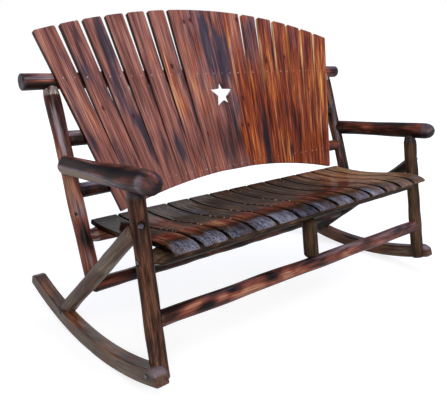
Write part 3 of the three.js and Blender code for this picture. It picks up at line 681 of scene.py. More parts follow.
# In each log, the sheen lists place painted highlights and reflections: place, turn, half length, half width,
# strength.
logs = {
    "rear_post_left": {
        "start": (-postX, postY(216), 216), "end": (-postX, postY(760), 760), "radii": (24, 24),
        "ends": (("sawn",), ("dome", 38)), "facing": front, "seed": 11, "heat": 0.56, "peel": (0, 0.65),
        "spots": [
            (0.42, 40, 0.05, 60, 0.4), (0.1, 40, 0.1, 50, 0.3), (0.2, 40, 0.04, 50, -0.25),
            (0.33, 40, 0.05, 60, 0.35), (0.62, 90, 0.12, 40, 0.2), (0.75, 80, 0.2, 18, -0.1),
            (0.75, -10, 0.2, 18, -0.15), (0.5, 20, 0.06, 30, 0.3),
        ],
        "paintedSheenAndStain": [
            (0.78, 34, 0.12, 28, 0.75), (0.62, 28, 0.1, 24, 0.5), (0.4, 45, 0.05, 20, 0.5),
            (0.1, 20, 0.08, 30, 0.6), (0.34, 10, 0.05, 30, 0.7),
        ],
        "knots": [(0.33, 40, 12)], "shave": shaveForBoards,
    },
    "rear_post_right": {
        "start": (postX, postY(216), 216), "end": (postX, postY(778.5), 778.5), "radii": (24, 24),
        "ends": (("sawn",), ("dome", 54.5)), "facing": front, "seed": 12, "heat": 0.3, "peel": (0, 0.6),
        "paintedSheenAndStain": [(0.6, 40, 0.3, 30, 0.5)],
        "spots": [(0.7, 40, 0.15, 80, 0.15)], "shave": shaveForBoards,
    },
    "front_leg_left": {
        "start": (-postX, legY(50), 50), "end": (-postX, legY(563), 563), "radii": (24, 24),
        "ends": (("sawn",), ("cone", 27, 29)), "facing": front, "seed": 13, "heat": 0.5, "cap": (0, 0.8),
        "look": "legLog",
        "spots": [
            (0.8, 20, 0.12, 25, 0.05), (0.65, 30, 0.25, 60, -0.14), (0.85, 60, 0.2, 15, -0.2),
            (0.6, -25, 0.4, 20, -0.2), (0.1, 10, 0.2, 60, 0.1),
        ],
        "paintedSheenAndStain": [(0.12, 30, 0.14, 30, 0.25)],
        "knots": [(0.32, -30, 10)],
    },
    "front_leg_right": {
        "start": (postX, legY(50), 50), "end": (postX, legY(563), 563), "radii": (24, 24),
        "ends": (("sawn",), ("cone", 27, 29)), "facing": front, "seed": 14, "heat": 0.52, "cap": (0, 0.8),
        "look": "calmLog",
        "spots": [(0.5, 60, 0.5, 20, 0.1)],
    },
    "arm_left": {
        "start": (-armX, 424, 535.8), "end": (-armX, *bench["armTip"]), "radii": (28, 30.5),
        "ends": (("sawn",), ("dome", 38)), "facing": up, "seed": 15, "heat": 0.35, "relief": 0.6,
        "spots": [
            (0.5, -84, 0.09, 20, 0.5), (0.5, -8, 0.5, 20, 0.4), (0.75, -48, 0.25, 22, -0.3),
            (0.15, -50, 0.2, 30, -0.15), (0.8, -100, 0.2, 18, 0.15), (0.98, -30, 0.05, 60, 0.35),
        ],
        # a broad tan painted reflection of the floor along the underside, and a painted highlight near the tip
        "paintedSheenAndStain": [(0.2, -116, 0.42, 24, 2.8), (0.92, -95, 0.03, 50, 1.0)],
        "cap": (0, 0.4),
    },
    "arm_right": {
        "start": (armX, 437, 531), "end": (armX, -12, 559), "radii": (28, 30.5),
        "ends": (("sawn",), ("dome", 38)), "facing": up, "seed": 16, "heat": 0.38, "relief": 0.6,
        "spots": [(0.35, -60, 0.1, 40, 0.2), (0.8, -60, 0.1, 40, 0.2)], "cap": (0, 0.7),
    },
    "brace_left": {
        "start": (-braceX, *bench["braceFoot"]), "end": (-braceX, *bench["braceTop"]), "radii": (24.5, 22),
        "ends": (("sawn",), ("sawn",)), "facing": up, "seed": 17, "heat": 0.52, "finish": "timber",
        "relief": 0.7,
    },
    "brace_right": {
        "start": (braceX, *bench["braceFoot"]), "end": (braceX, *bench["braceTop"]), "radii": (24.5, 22),
        "ends": (("sawn",), ("sawn",)), "facing": up, "seed": 18, "heat": 0.22, "finish": "timber",
        "relief": 0.7,
    },
    "top_rail": {
        "start": (-710, postY(766), 766), "end": (710, postY(766), 766), "radii": (25, 25),
        "ends": (("sawn",), ("sawn",)), "facing": front, "seed": 19, "heat": 0.5, "cap": (1, 1),
        "spots": [
            (0.05, -25, 0.06, 30, -0.4), (0.035, 12, 0.03, 18, 0.45), (0.04, 60, 0.03, 14, 0.3),
            (0.99, 20, 0.03, 90, -0.2),
        ],
        "paintedSheenAndStain": [(0.035, 30, 0.05, 16, 1.0), (0.04, 70, 0.05, 10, 0.6)], "shave": shaveForBoards,
    },
    "middle_back_rail": {
        "start": (-636, postY(603), 603), "end": (636, postY(603), 603), "radii": (23.5, 23.5),
        "ends": (("cone", 9), ("cone", 9)), "facing": front, "seed": 20, "heat": 0.25,
        "shave": shaveForBoards,
        "paintedSheenAndStain": [(0.05, 60, 0.06, 40, 0.9)],
    },
    "lower_back_rail": {
        "start": (-636, postY(458), 458), "end": (636, postY(458), 458), "radii": (23, 23),
        "ends": (("cone", 9), ("cone", 9)), "facing": front, "seed": 21, "heat": 0.25,
        "shave": shaveForBoards,
        "spots": [(0.97, 20, 0.05, 90, 0.4)], "paintedSheenAndStain": [(0.05, 60, 0.07, 40, 0.9)],
    },
    "rear_seat_rail": {
        "start": (-639.5, postY(329), 329), "end": (639.5, postY(329), 329), "radii": (23, 23),
        "ends": (("cone", 30), ("cone", 30)), "facing": front, "seed": 22, "heat": 0.42, "peel": (0.55, 0.45),
        "spots": [(0.08, 0, 0.05, 90, 0.3)], "shave": shaveForSeat,
    },
    "front_seat_rail": {
        "start": (-639.5, *bench["frontRail"]), "end": (639.5, *bench["frontRail"]), "radii": (26, 26),
        "ends": (("cone", 30), ("cone", 30)), "facing": front, "seed": 23, "heat": 0.42,
        "peel": (0.3, 0.35), "look": "calmLog",
        # the two spots running the whole rail are painted light on its upper front and painted shade underneath
        "spots": [
            (0.02, 0, 0.02, 90, 0.2), (0.07, -20, 0.05, 60, -0.2), (0.1, -15, 0.012, 16, 0.4),
            (0.17, -10, 0.012, 14, 0.4), (0.25, -15, 0.03, 20, 0.3),
            (0.31, -12, 0.01, 12, 0.5), (0.41, -10, 0.012, 14, 0.4), (0.5, 20, 0.6, 25, 0.1),
            (0.5, -45, 0.6, 25, -0.2),
        ],
        "shave": shaveForSeat,
    },
    "front_stretcher": {
        "paintedSheenAndStain": [
            (0.2, 80, 0.1, 25, 0.4), (0.56, 75, 0.1, 25, 0.7), (0.85, 60, 0.2, 30, 0.5),
            (0.8, 5, 0.25, 45, 0.2), (0.04, -30, 0.04, 60, 0.3),
        ],
        "start": (-639.5, legY(200), 200), "end": (639.5, legY(178), 178), "radii": (23, 23),
        "ends": (("cone", 9), ("cone", 9)), "facing": front, "seed": 24, "heat": 0.56,
        "spots": [
            (0.04, 20, 0.025, 60, -0.3), (0.1, 35, 0.03, 20, 0.6), (0.13, 5, 0.02, 25, -0.6),
            (0.17, 30, 0.025, 24, 0.6), (0.21, 60, 0.02, 30, -0.6),
            (0.26, 0, 0.05, 35, 0.45), (0.33, 50, 0.03, 30, -0.5), (0.4, 10, 0.05, 40, 0.5),
            (0.49, 50, 0.03, 40, -0.4),
            (0.6, 10, 0.05, 30, 0.25), (0.7, 30, 0.03, 50, -0.2), (0.85, -20, 0.1, 30, 0.1),
            (0.8, 20, 0.25, 60, 0.08),
        ],
    },
    "rear_stretcher": {
        "start": (-braceX, braceY(175), 175), "end": (braceX, braceY(157), 157), "radii": (22, 22),
        "ends": (("cone", 9), ("cone", 9)), "facing": front, "seed": 25, "heat": 0.36,
        "spots": [(0.07, 20, 0.04, 80, 0.35)],
    },
    "centre_post": {
        "start": (-13, legY(189), 189), "end": (-13, *bench["frontRail"]), "radii": (24.5, 24.5),
        "ends": (("cone", 9), ("cone", 9)), "facing": front, "seed": 26, "heat": 0.42, "look": "calmLog",
    },
}

# The bolts, and the sinks that they sit in.

boltLook = {
    "shank": 4, "flange": 7.5, "flats": 5.7, "tall": 5, "sink": 9.5, "sinkDeep": 7,
    "braceReach": 31, "braceOut": 7, "braceLong": 72, "railLong": 52, "armLong": 78, "armOut": 4,
    "screwLong": 44,
    "rockerFace": 17.5, "rockerSinkLess": 1.2, "legScrew": 73, "braceScrew": (497, 52),
}


# Skin turned about an axis: head + axis * t + r * (cos(angle) * first + sin(angle) * second).
def turnedSkin(name, head, along, t, r, angle):
    axis = np.asarray(along, float) / np.linalg.norm(along)
    first, second = squareTo(axis, (0.3, 0.2, 1))
    rows = np.asarray(head, float) + axis * t[:, None, None]
    outward = np.cos(angle)[:, None] * first + np.sin(angle)[:, None] * second
    return closedSkin(name, rows + r[..., None] * outward)


# Skin of a bolt: rings about its axis; the head's rings are a hexagon, flats / cos of the angle from a flat.
def makeBolt(name, head, along, long):
    angle = np.linspace(0, 2 * np.pi, 36, endpoint=False)
    six = boltLook["flats"] / np.cos((angle + np.pi / 6) % (np.pi / 3) - np.pi / 6)
    ring = np.ones(36)
    tall, flange = boltLook["tall"], boltLook["flange"]
    rings = [
        (-tall, six * 0.5), (-tall, six * 0.88), (-tall + 0.5, six), (-1.7, six),
        (-1.5, ring * (flange - 0.5)),
        (-1.2, ring * flange), (-0.3, ring * flange), (0, ring * (flange - 0.2)),
        (0, ring * boltLook["shank"]),
        (long - 1, ring * boltLook["shank"]), (long, ring * (boltLook["shank"] - 1)),
    ]
    t = np.array([place for place, _ in rings])
    return turnedSkin(name, head, along, t, np.array([radius for _, radius in rings]), angle)


# A round tool that cuts the sink over a bolt's head, from deep under the face to clear of it.
def sinkTool(head, along, radius, floor=0.2):
    angle = np.linspace(0, 2 * np.pi, 40, endpoint=False)
    r = np.array([[1], [1], [1], [0.97]]) * radius
    return turnedSkin("sink_tool", head, along, np.array([-22, -3, -1.5, floor]), r, angle)


# Head and direction of each bolt on one side.
def boltsOf(side):
    (footY, footZ), (topY, topZ) = bench["braceFoot"], bench["braceTop"]
    down = np.array([0, footY - topY, footZ - topZ], float)
    down /= np.linalg.norm(down)
    braceHead = np.array([side * (postX + boltLook["braceOut"]), topY, topZ]) - down * boltLook["braceReach"]
    (tipY, tipZ), (rearY, rearZ) = bench["armTip"], bench["armRear"]
    slope = (tipZ - rearZ) / (rearY - tipY)
    armZ = rearZ + (rearY - postY(rearZ)) * slope - (bench["armRightLower"] if side > 0 else 0)
    face = side * (rockerX + boltLook["rockerFace"])
    radius, deep = bench["postRadius"], boltLook["sinkDeep"]
    inward, legZ = (-side, 0, 0), boltLook["legScrew"]
    return {
        "brace_bolt": (braceHead, down, boltLook["braceLong"]),
        "seat_rail_bolt": ((side * (postX + radius - deep), *bench["frontRail"]), inward, boltLook["railLong"]),
        "arm_bolt": (
            (side * (postX + boltLook["armOut"]), postY(armZ) + radius - deep, armZ), (0, -1, 0),
            boltLook["armLong"],
        ),
        "rocker_leg_screw": ((face, legY(legZ), legZ), inward, boltLook["screwLong"]),
        "rocker_brace_screw": ((face, *boltLook["braceScrew"]), inward, boltLook["screwLong"]),
    }


bolts = {"left": boltsOf(-1), "right": boltsOf(1)}
sinks = {
    "front_leg": ("brace_bolt", "seat_rail_bolt"), "rear_post": ("arm_bolt",),
    "rocker": ("rocker_leg_screw", "rocker_brace_screw"),
}


# The sinks to cut in one piece, by its name.
def toolsFor(name):
    stem, _, side = name.rpartition("_")
    radius = boltLook["sink"] - (boltLook["rockerSinkLess"] if stem == "rocker" else 0)
    return [sinkTool(*bolts[side][bolt][:2], radius) for bolt in sinks.get(stem, ())]


for name, log in logs.items():
    piece = makeLog(name + "_finished", log)
    tools = toolsFor(name)
    if tools:
        piece = carve(piece, tools)
    paintLog(piece, log)
    finish = log.get("finish", "log")
    dress(piece, name, log.get("look", finish))
print("logs made")

for side, made in bolts.items():
    for name, (head, along, long) in made.items():
        piece = makeBolt(f"{name}_{side}_finished", head, along, long)
        dress(piece, f"{name}_{side}", "steel", 30)
print("bolts made")

# The sawn timbers: boards of the back, slats of the seat, rockers.


# A round-cornered section as arrays: places u, w on the inner rectangle from -1 to 1, and the outward turn.
# It starts at the right side and goes over the front face to the left, so skins made of it face outward.
def roundedSection(face, side, back, corner=4):
    quarter = np.radians(np.linspace(0, 90, corner))
    parts = []
    for (u, w, turn), (u2, w2), count in (
        ((1, 1, 0), (-1, 1), face), ((-1, 1, 90), (-1, -1), side),
        ((-1, -1, 180), (1, -1), back), ((1, -1, 270), (1, 1), side),
    ):
        parts.append(np.stack([np.full(corner, u), np.full(corner, w), np.radians(turn) + quarter], -1))
        share = np.linspace(0, 1, count + 2)[1:-1]
        square = np.full(count, np.radians(turn + 90))
        parts.append(np.stack([u + (u2 - u) * share, w + (w2 - w) * share, square], -1))
    u, w, turn = np.concatenate(parts).T
    return u, w, np.cos(turn), np.sin(turn)


# How far a round edge of a radius draws back at a distance from its end.
def drawBack(away, radius):
    gone = np.clip(radius - away, 0, radius)
    return radius - np.sqrt(np.maximum(radius ** 2 - gone ** 2, 0))


# Distances from one end to the other, close together at both ends.
def stations(length, edge, corner, pace):
    near = edge * np.array([0, 0.06, 0.25, 0.6, 1.0])
    if corner > edge:
        near = np.concatenate([near, edge + (corner - edge) * np.array([0.5, 1.0])])
    inner = np.linspace(near[-1], length - near[-1], max(3, int(length / pace)))[1:-1]
    return np.concatenate([near, inner, (length - near)[::-1]])


# Where joint line number i of the fan is at its low and high ends, on the side 1 or -1.
def fanLine(i, side):
    shift = side * fan["middle"] * (1 - i / fan["aside"])
    out = (i - fan["tight"]) / (fan["aside"] - fan["tight"])
    ends = []
    for tight, whole in ((fan["centreLowHalf"], fan["lowHalf"]), (fan["centreHighHalf"], fan["highHalf"])):
        ends.append(shift + (tight * i / fan["tight"] if i <= fan["tight"] else tight + (whole - tight) * out))
    return ends


# Skin of a back board: its edges are straight lines of the fan, its ends parabolas, and its brushed
# face waves by a fraction of a millimetre: sums of sin(across / width + drift of the height).
def makeBoard(name, i, side, seed):
    low, high = upBoard(fan["lowHeight"]), upBoard(fan["highHeight"])

    def edgeAt(joint, away):
        a, b = fanLine(joint, side)
        tight = joint < fan["tight"] or joint == fan["aside"]
        least, most = fan["tightGap"], 0
        if not tight:
            least, most = fan["openLow"], fan["openHigh"][side][joint - fan["tight"]]
        closed = upBoard(fan["closed"])

        def edge(s):
            gap = least + most * np.clip((s - closed) / (high - closed), 0, None)
            return a + (b - a) * (s - low) / (high - low) + away / 2 * gap

        return edge

    inner, outer = edgeAt(i, 1), edgeAt(i + 1, -1)

    def topAt(x):
        off = (x - side * fan["topMiddle"]) / fan["topHalf"]
        return upBoard(fan["topHeight"] - fan["topFall"] * off ** 2)

    def lowAt(x):
        return upBoard(fan["lowEdge"] - fan["lowFall"] * (x / fan["lowSpread"]) ** 2)

    middle = (inner(high) + outer(high)) / 2
    length = topAt(middle) - lowAt(middle)
    away = stations(length, fan["edge"], fan["corner"], 8)
    share = (away / length)[:, None]
    end = np.minimum(away, length - away)[:, None]

    def edgeRow(line):
        x = line(lowAt(middle) + share * length)
        for _ in range(4):
            x = line(lowAt(x) + share * (topAt(x) - lowAt(x)))
        return x

    xIn, xOut = edgeRow(inner), edgeRow(outer)
    u, w, c, turned = roundedSection(30, 1, 6)
    edge = fan["edge"]
    thin = drawBack(end, edge)
    corner = fan["corner"] if i >= fan["tight"] else fan["tightCorner"]
    tuck = np.where(away[:, None] > length / 2, drawBack(end, corner), thin)
    xMin, xMax = (xIn, xOut) if side > 0 else (-xOut, -xIn)
    half = (xMax - xMin) / 2 - tuck
    x = (xMax + xMin) / 2 + u * (half - edge) + edge * c
    n = fan["thick"] / 2 + w * (fan["thick"] / 2 - thin - (edge - thin)) + (edge - thin) * turned
    s = lowAt(x) + share * (topAt(side * x) - lowAt(x))
    rng = np.random.default_rng(seed)
    brushed = np.zeros_like(x)
    for _ in range(8):
        width, drift = rng.uniform(1.2, 4.5), rng.uniform(60, 240)
        brushed += 0.05 * np.sin(x / width + 2.2 * np.sin(s / drift + rng.uniform(0, 6)) + rng.uniform(0, 6))
    n = n + np.where(w > 0.99, brushed - 0.25, 0) * (turned > 0.99)
    return closedSkin(name, onBoards(x, s, n))


# The star as a cutting tool through the middle joint: ten points, long and short by turns, a little
# wider towards the back of the boards.
def starTool():
    turn = np.radians(90 - 36 * np.arange(10))
    n = np.array([-8.0, fan["thick"] + 8])[:, None]
    flare = fan["starFlare"] * (fan["thick"] - n) / fan["thick"]
    radius = (fan["starRadius"] + flare) * np.where(np.arange(10) % 2, fan["starInner"], 1)
    x = fan["middle"] + radius * np.cos(turn)
    s = upBoard(fan["starHeight"]) + radius * np.sin(turn)
    return closedSkin("star_tool", onBoards(x, s, n))


# amber and burn of each board, out from the middle; the left boards' low amber gives a mauve that is partly
# the wood's and partly a painted sky sheen
boards = {
    "left": [
        (0.22, 0.2), (0.2, 0.12), (0.2, 0.12), (0.08, 0.1), (0.04, 0.08), (0.0, 0.4), (-0.05, 0.22),
        (0.0, 0.08),
    ],
    "right": [
        (0.3, 0.2), (0.6, 0.0), (0.7, 0.08), (0.85, 0.05), (0.95, 0.0), (0.9, 0.05), (0.95, 0.02),
        (0.95, 0.0),
    ],
}
# marks on the fan: place across at mid height, height, half width, half length, burn, amber (mm)
drifts = [
    (-548, 839, 12, 60, 0.6, 0), (-580, 584, 22, 70, 0.5, 0), (-540, 690, 14, 90, -0.1, 0.12),
    (-496, 811, 24, 60, 0.45, 0), (-512, 577, 18, 80, 0.4, 0), (-470, 640, 12, 90, 0, 0.12),
    (-401, 719, 26, 130, 0.4, 0), (-395, 850, 20, 60, 0.25, 0), (-420, 540, 26, 90, -0.4, 0.1),
    (-325, 684, 24, 110, -0.1, 0.2), (-345, 560, 18, 70, 0.3, 0), (-259, 545, 22, 60, 0.7, 0),
    (-262, 850, 20, 80, -0.1, 0.2),
    (-192, 803, 15, 30, 0.3, 0), (-190, 690, 12, 110, -0.1, 0.45), (-110, 720, 16, 120, -0.1, 0.15),
    (-98, 963, 16, 22, 0.4, 0), (-25, 880, 26, 120, 0.65, 0), (26, 850, 24, 110, 0.8, 0),
    (-40, 700, 20, 60, 0.2, 0),
    (11, 612, 12, 70, 0.55, 0), (24, 545, 5, 60, 0.7, 0), (50, 690, 12, 70, 0.5, 0),
    (-35, 540, 22, 80, 0.1, -0.1),
    (110, 650, 22, 150, -0.2, 0.6), (125, 880, 26, 90, 0.1, -0.3), (170, 894, 28, 90, 0.4, -0.3),
    (165, 700, 24, 70, -0.1, 0.2),
    (178, 500, 20, 80, 1.3, -0.1), (67, 540, 22, 60, -0.7, 0.9), (108, 600, 14, 90, -0.3, 0.3),
    (178, 955, 24, 45, 0.3, -0.4), (328, 930, 22, 60, -0.2, 0.4), (402, 910, 20, 50, 0.1, -0.3),
    (240, 820, 14, 50, 0.5, 0), (250, 600, 20, 100, 0.1, 0.1), (300, 850, 18, 90, -0.1, 0.4),
    (395, 830, 10, 70, 0.6, 0), (400, 560, 20, 80, 0.4, -0.1), (450, 840, 22, 90, -0.1, 0.4),
    (500, 560, 16, 80, 0.5, -0.2),
    (560, 870, 24, 60, -0.1, 0.4), (560, 540, 24, 90, 0.35, -0.2), (330, 480, 40, 40, 0.3, -0.1),
]
# places of another lightness on the fan: across, height, half width, half length, how much lighter
boardShades = [
    (-207, 742, 20, 70, 0.35), (-72, 754, 20, 80, 0.28), (-269, 744, 18, 60, -0.25),
    (386, 690, 14, 70, -0.1), (550, 700, 18, 110, 0.3),
    (-11, 544, 26, 60, -0.4), (76, 540, 20, 60, 0.05), (-330, 745, 16, 50, -0.1),
    (-590, 880, 20, 60, 0.15), (-380, 960, 30, 40, 0.15), (-260, 800, 20, 120, 0.2),
    (-110, 800, 24, 120, 0.2),
    (-60, 560, 40, 60, -0.2), (24, 560, 22, 80, -0.3), (590, 780, 14, 120, 0.2), (200, 620, 40, 80, -0.1),
    (200, 930, 40, 40, -0.15), (190, 640, 24, 80, -0.1), (178, 500, 18, 70, -0.2), (-577, 699, 16, 60, 0.2),
    (-333, 545, 30, 55, -0.12), (-407, 545, 30, 60, -0.16), (-150, 530, 120, 40, -0.07),
    (330, 880, 20, 70, -0.1), (-505, 876, 20, 50, -0.12), (-232, 903, 20, 50, -0.14),
    (-420, 880, 18, 50, -0.1), (-570, 580, 22, 50, -0.12), (328, 930, 24, 60, 0.12),
    (402, 915, 24, 60, -0.28), (486, 895, 22, 50, -0.12), (310, 815, 20, 60, -0.1),
    (390, 560, 60, 60, -0.15),
]
# place across at mid height, height and size of each knot (mm)
knots = [
    (89, 685, 10), (58, 590, 9), (92, 588, 9), (-72, 957, 9), (-98, 950, 8), (126, 968, 10), (339, 831, 10),
    (-493, 685, 7),
    (351, 614, 9), (-192, 803, 9), (240, 815, 8), (20, 845, 7), (-120, 575, 7), (-400, 655, 7), (470, 700, 7),
]


# Lays grain, amber, burn, lightness, knots and the painted light and shade of the side faces on a board's
# vertices; places across are scaled to mid height.
def paintBoard(piece, side, i, seed):
    amber, burn = boards[side][i]
    points = pointsOf(piece) - boardBack
    x, s, n = points[:, 0], points @ boardUp, points @ boardOut
    up01, half = fanAt(s)
    middle = (fan["lowHalf"] + fan["highHalf"]) / 2
    across, height = x * middle / half, fan["lowHeight"] + (fan["highHeight"] - fan["lowHeight"]) * up01
    layGrain(piece, seed + 900, across, n, s)
    burn, amber = np.full(len(x), burn), np.full(len(x), amber)
    for at, high, wide, tall, moreBurn, moreAmber in drifts:
        near = spot(across, height, at, high, wide, tall)
        burn, amber = burn + moreBurn * near, amber + moreAmber * near
    setAttribute(piece.data, "amber", amber)
    setAttribute(piece.data, "burn", burn)
    # Side faces: painted shade on the left and middle boards, a painted highlight on the right ones that fades
    # toward the bottom.
    edge = (n < fan["thick"] - 1.9) & (n > 0.6)
    fade = np.interp(up01, [0.35, 0.8], [0, 1]) if x.mean() < 480 else np.interp(up01, [0, 0.7], [0.35, 1])
    pale = np.interp(x.mean(), [-200, 100, 250, 400], [-1, -0.5, 0.6, 0.9]) * (fade if x.mean() > 0 else 1)
    setAttribute(piece.data, "side", np.where(edge, pale, 0))
    shade = np.zeros(len(x))
    for at, high, wide, tall, lighter in boardShades:
        shade += lighter * spot(across, height, at, high, wide, tall)
    setAttribute(piece.data, "shade", shade)
    knot = np.zeros(len(x))
    for at, high, size in knots:
        away = np.hypot((across - at) * 1.1, (height - high) * 0.8)
        halo = np.exp(-((away - 1.7 * size) / (0.35 * size)) ** 2)
        knot = np.maximum(knot, np.exp(-(away / size) ** 2) + 0.3 * halo)
    setAttribute(piece.data, "knot", knot)


for side, sign in (("left", -1), ("right", 1)):
    for i in range(fan["aside"]):
        seed = 100 + i + (20 if sign > 0 else 0)
        piece = makeBoard(f"back_board_{side}_{i + 1}_finished", i, sign, seed)
        if i == 0:
            piece = carve(piece, [starTool()])
        paintBoard(piece, side, i, seed)
        dress(piece, f"back_board_{side}_{i + 1}", "board", 32)
print("back made")


# Skin of a slat: a round-cornered section carried along the seat's line, thinner towards its ends.
def makeSlat(name, middle, wide, seed):
    reach = np.concatenate([[0], np.cumsum(np.linalg.norm(np.diff(seatTop, axis=0), axis=1))])
    away = stations(reach[-1], 5.0, 5.0, 7)

    def along(reached):
        return np.stack([np.interp(reached, reach, seatTop[:, k]) for k in (0, 1)], -1)

    place, run = along(away), along(away + 2) - along(away - 2)
    run /= np.linalg.norm(run, axis=1)[:, None]
    out = np.stack([np.zeros(len(away)), -run[:, 1], run[:, 0]], -1)
    u, w, c, s = roundedSection(20, 1, 6)
    end = np.minimum(away, reach[-1] - away)[:, None]
    thin, tuck = drawBack(end, 5.0), drawBack(end, 5.0)
    nose = np.clip(1.3 - away / 60, 0, 1)[:, None]
    tuck = tuck + seat["noseIn"] * nose
    edge = seat["edge"] + (seat["noseEdge"] - seat["edge"]) * nose
    edge = np.minimum(edge, seat["thick"] / 2 - thin)
    x = middle + u * (wide / 2 - tuck - edge) + edge * c
    n = -seat["thick"] / 2 + w * (seat["thick"] / 2 - thin - edge) + edge * s
    n = n * (1 - seat["noseThin"] * np.clip(1 - away / 55, 0, 1)[:, None])
    rng = np.random.default_rng(seed)
    for _ in range(6):
        width, drift, phase = rng.uniform(1.3, 4), rng.uniform(50, 160), rng.uniform(0, 6)
        lines = 0.06 * np.sin(x / width + 2 * np.sin(away[:, None] / drift) + phase)
        n = n + np.where((w > 0.99) & (s > 0.99), lines - 0.04, 0)
    origin = np.stack([np.zeros(len(away)), place[:, 0], place[:, 1]], -1)
    rows = origin[:, None, :] + x[..., None] * np.array([1.0, 0, 0]) + n[..., None] * out[:, None, :]
    return closedSkin(name, rows)


slatPitch = 2 * seat["half"] / seat["count"]
# amber, burn and lighter nose of each slat from the left; the lighter nose is a painted sky reflection
slatTones = [
    (0.1, 0.02, 0.05), (0.15, -0.05, 0.05), (0.1, 0.0, -0.12), (0.15, -0.05, 0.05), (0.05, 0.0, 0.08),
    (0.1, 0.0, -0.2), (0.15, -0.05, -0.05),
    (0.2, -0.05, 0.1), (0.2, -0.1, 0.02), (0.2, -0.15, 0.06), (0.25, -0.35, 0), (0.25, -0.45, 0),
    (0.15, -0.5, -0.15),
]


# marks on the seat: place across, depth, half width, half length, burn, amber (mm)
seatDrifts = [
    (-458, 215, 42, 70, -0.25, 0.8), (-545, 80, 30, 40, -0.1, 0.5), (-460, 95, 34, 34, -0.1, 0.45),
    (-370, 80, 30, 34, -0.1, 0.55),
    (-280, 75, 30, 36, -0.1, 0.5), (-190, 85, 30, 34, 0, 0.4), (-90, 100, 40, 50, 0, 0.5),
    (60, 120, 60, 60, -0.1, 0.3),
    (180, 110, 50, 60, -0.1, 0.3), (300, 160, 70, 90, -0.2, 0.35), (420, 230, 70, 120, -0.2, 0.7),
    (520, 250, 60, 120, -0.2, 0.6),
    (-310, 260, 40, 60, 0.5, -0.3), (-130, 250, 60, 60, 0.3, -0.3), (-380, 340, 50, 50, 0.35, -0.3),
    (40, 300, 80, 50, 0.25, -0.2),
    (-560, 345, 50, 90, -0.4, 0.1), (-455, 258, 30, 45, -0.3, 0.5),
]
# lighter and darker places on the seat: place across, depth, half width, half length, how much lighter
seatShades = [
    (-300, 300, 130, 90, -0.14), (-60, 290, 90, 70, -0.08), (-560, 345, 60, 90, -0.5),
    (-235, 200, 50, 40, 0.3), (-387, 80, 40, 36, 0.25), (-46, 95, 40, 30, 0.1), (420, 200, 120, 90, 0.1),
    (-457, 256, 30, 40, -0.15),
]


# Lays grain, amber, burn, lightness and knots on a slat: red behind the nose, blue-grey char on the nose,
# lightened as a painted sky reflection, painted shade in the seams and painted glints along them.
def paintSlat(piece, i, middle, seed):
    points = pointsOf(piece)
    x, y, z = points.T
    amber, burn, lighter = (np.full(len(x), tone) for tone in slatTones[i])
    depth = (y - seat["front"]) / (seat["rear"] - seat["front"])
    layGrain(piece, seed + 900, x - middle, z, y)
    for at, deep, wide, long, moreBurn, moreAmber in seatDrifts:
        near = spot(x, y, at, deep, wide, long)
        burn, amber = burn + moreBurn * near, amber + moreAmber * near
    rise = np.exp(-((depth - 0.22) / 0.08) ** 2)
    nose = 1 / (1 + np.exp((depth - 0.13) / 0.018))
    below = seatZ(y) - z
    endFace = np.clip((below - 2.5) / 2, 0, 1) * (y < seat["front"] + 15)
    amber = amber + np.interp(x, [-350, 50], [0.45, 0.25]) * rise
    setAttribute(piece.data, "amber", amber * (1 - nose) - 0.3 * nose)
    setAttribute(piece.data, "burn", (burn + 0.8 * nose - 0.25 * rise) * (1 - endFace) - 0.8 * endFace)
    knot = np.zeros(len(x))
    if i == 0:
        away = np.hypot((x - middle - 4) * 0.9, (y - 72) * 0.8)
        knot = 0.75 * np.exp(-(away / 14) ** 2) + 0.35 * np.exp(-((away - 24) / 4) ** 2)
    setAttribute(piece.data, "knot", knot)
    off = (slatPitch - seat["gap"]) / 2 - np.abs(x - middle)
    # Painted glints: light dots along the seams in the middle of the seat; painted shade darkens the seams,
    # more towards the right and at the noses.
    inMiddle = np.exp(-((depth - 0.42) / 0.2) ** 2)
    paintedGlints = np.sin(y * 0.31 + seed) * np.sin(y * 0.113 + 2.1 * seed) * inMiddle > 0.36
    side = np.where(off < 0.9 + 1.6 * np.clip((x + 100) / 300, 0, 1) + 3.5 * nose, -1.0, 0) * (1 - endFace)
    side = np.where((i == 0) & (x < middle) & (y > 100), 0.0, side)
    paintedGlints = paintedGlints & (off > 0.4) & (off < 3.4) & (x < middle) & (x < -20)
    setAttribute(piece.data, "side", np.where(paintedGlints, 0.8, side))
    # Lighter towards the right end, partly the wood's tone and partly a painted sheen; the nose is lightened as
    # a painted sky reflection.
    shade = np.interp(x, [-500, 150, 560], [-0.06, -0.04, 0.42]) + 0.2 * spot(x, y, -470, 150, 40, 60)
    shade += 0.08 * rise - 0.05 * endFace + (lighter + 0.07) * nose
    for at, deep, wide, long, more in seatShades:
        shade += more * spot(x, y, at, deep, wide, long)
    setAttribute(piece.data, "shade", shade)


for i in range(seat["count"]):
    middle = -seat["half"] + slatPitch * (i + 0.5)
    number = f"{i + 1:02d}"
    piece = makeSlat(f"seat_slat_{number}_finished", middle, slatPitch - seat["gap"], 200 + i)
    paintSlat(piece, i, middle, 200 + i)
    dress(piece, f"seat_slat_{number}", "slat", 32)
print("seat made")

rocker = {
    "radius": 1088, "middle": 310, "tall": 48, "thick": 38, "front": 19.3, "rear": 22.1, "rest": 62,
    "edge": 4, "cornerLong": 26, "cornerTall": 17,
    "stains": [(-120, 60, 0.5), (120, 50, 0.5), (330, 40, 0.4)],  # place along the arc, half length, strength
}


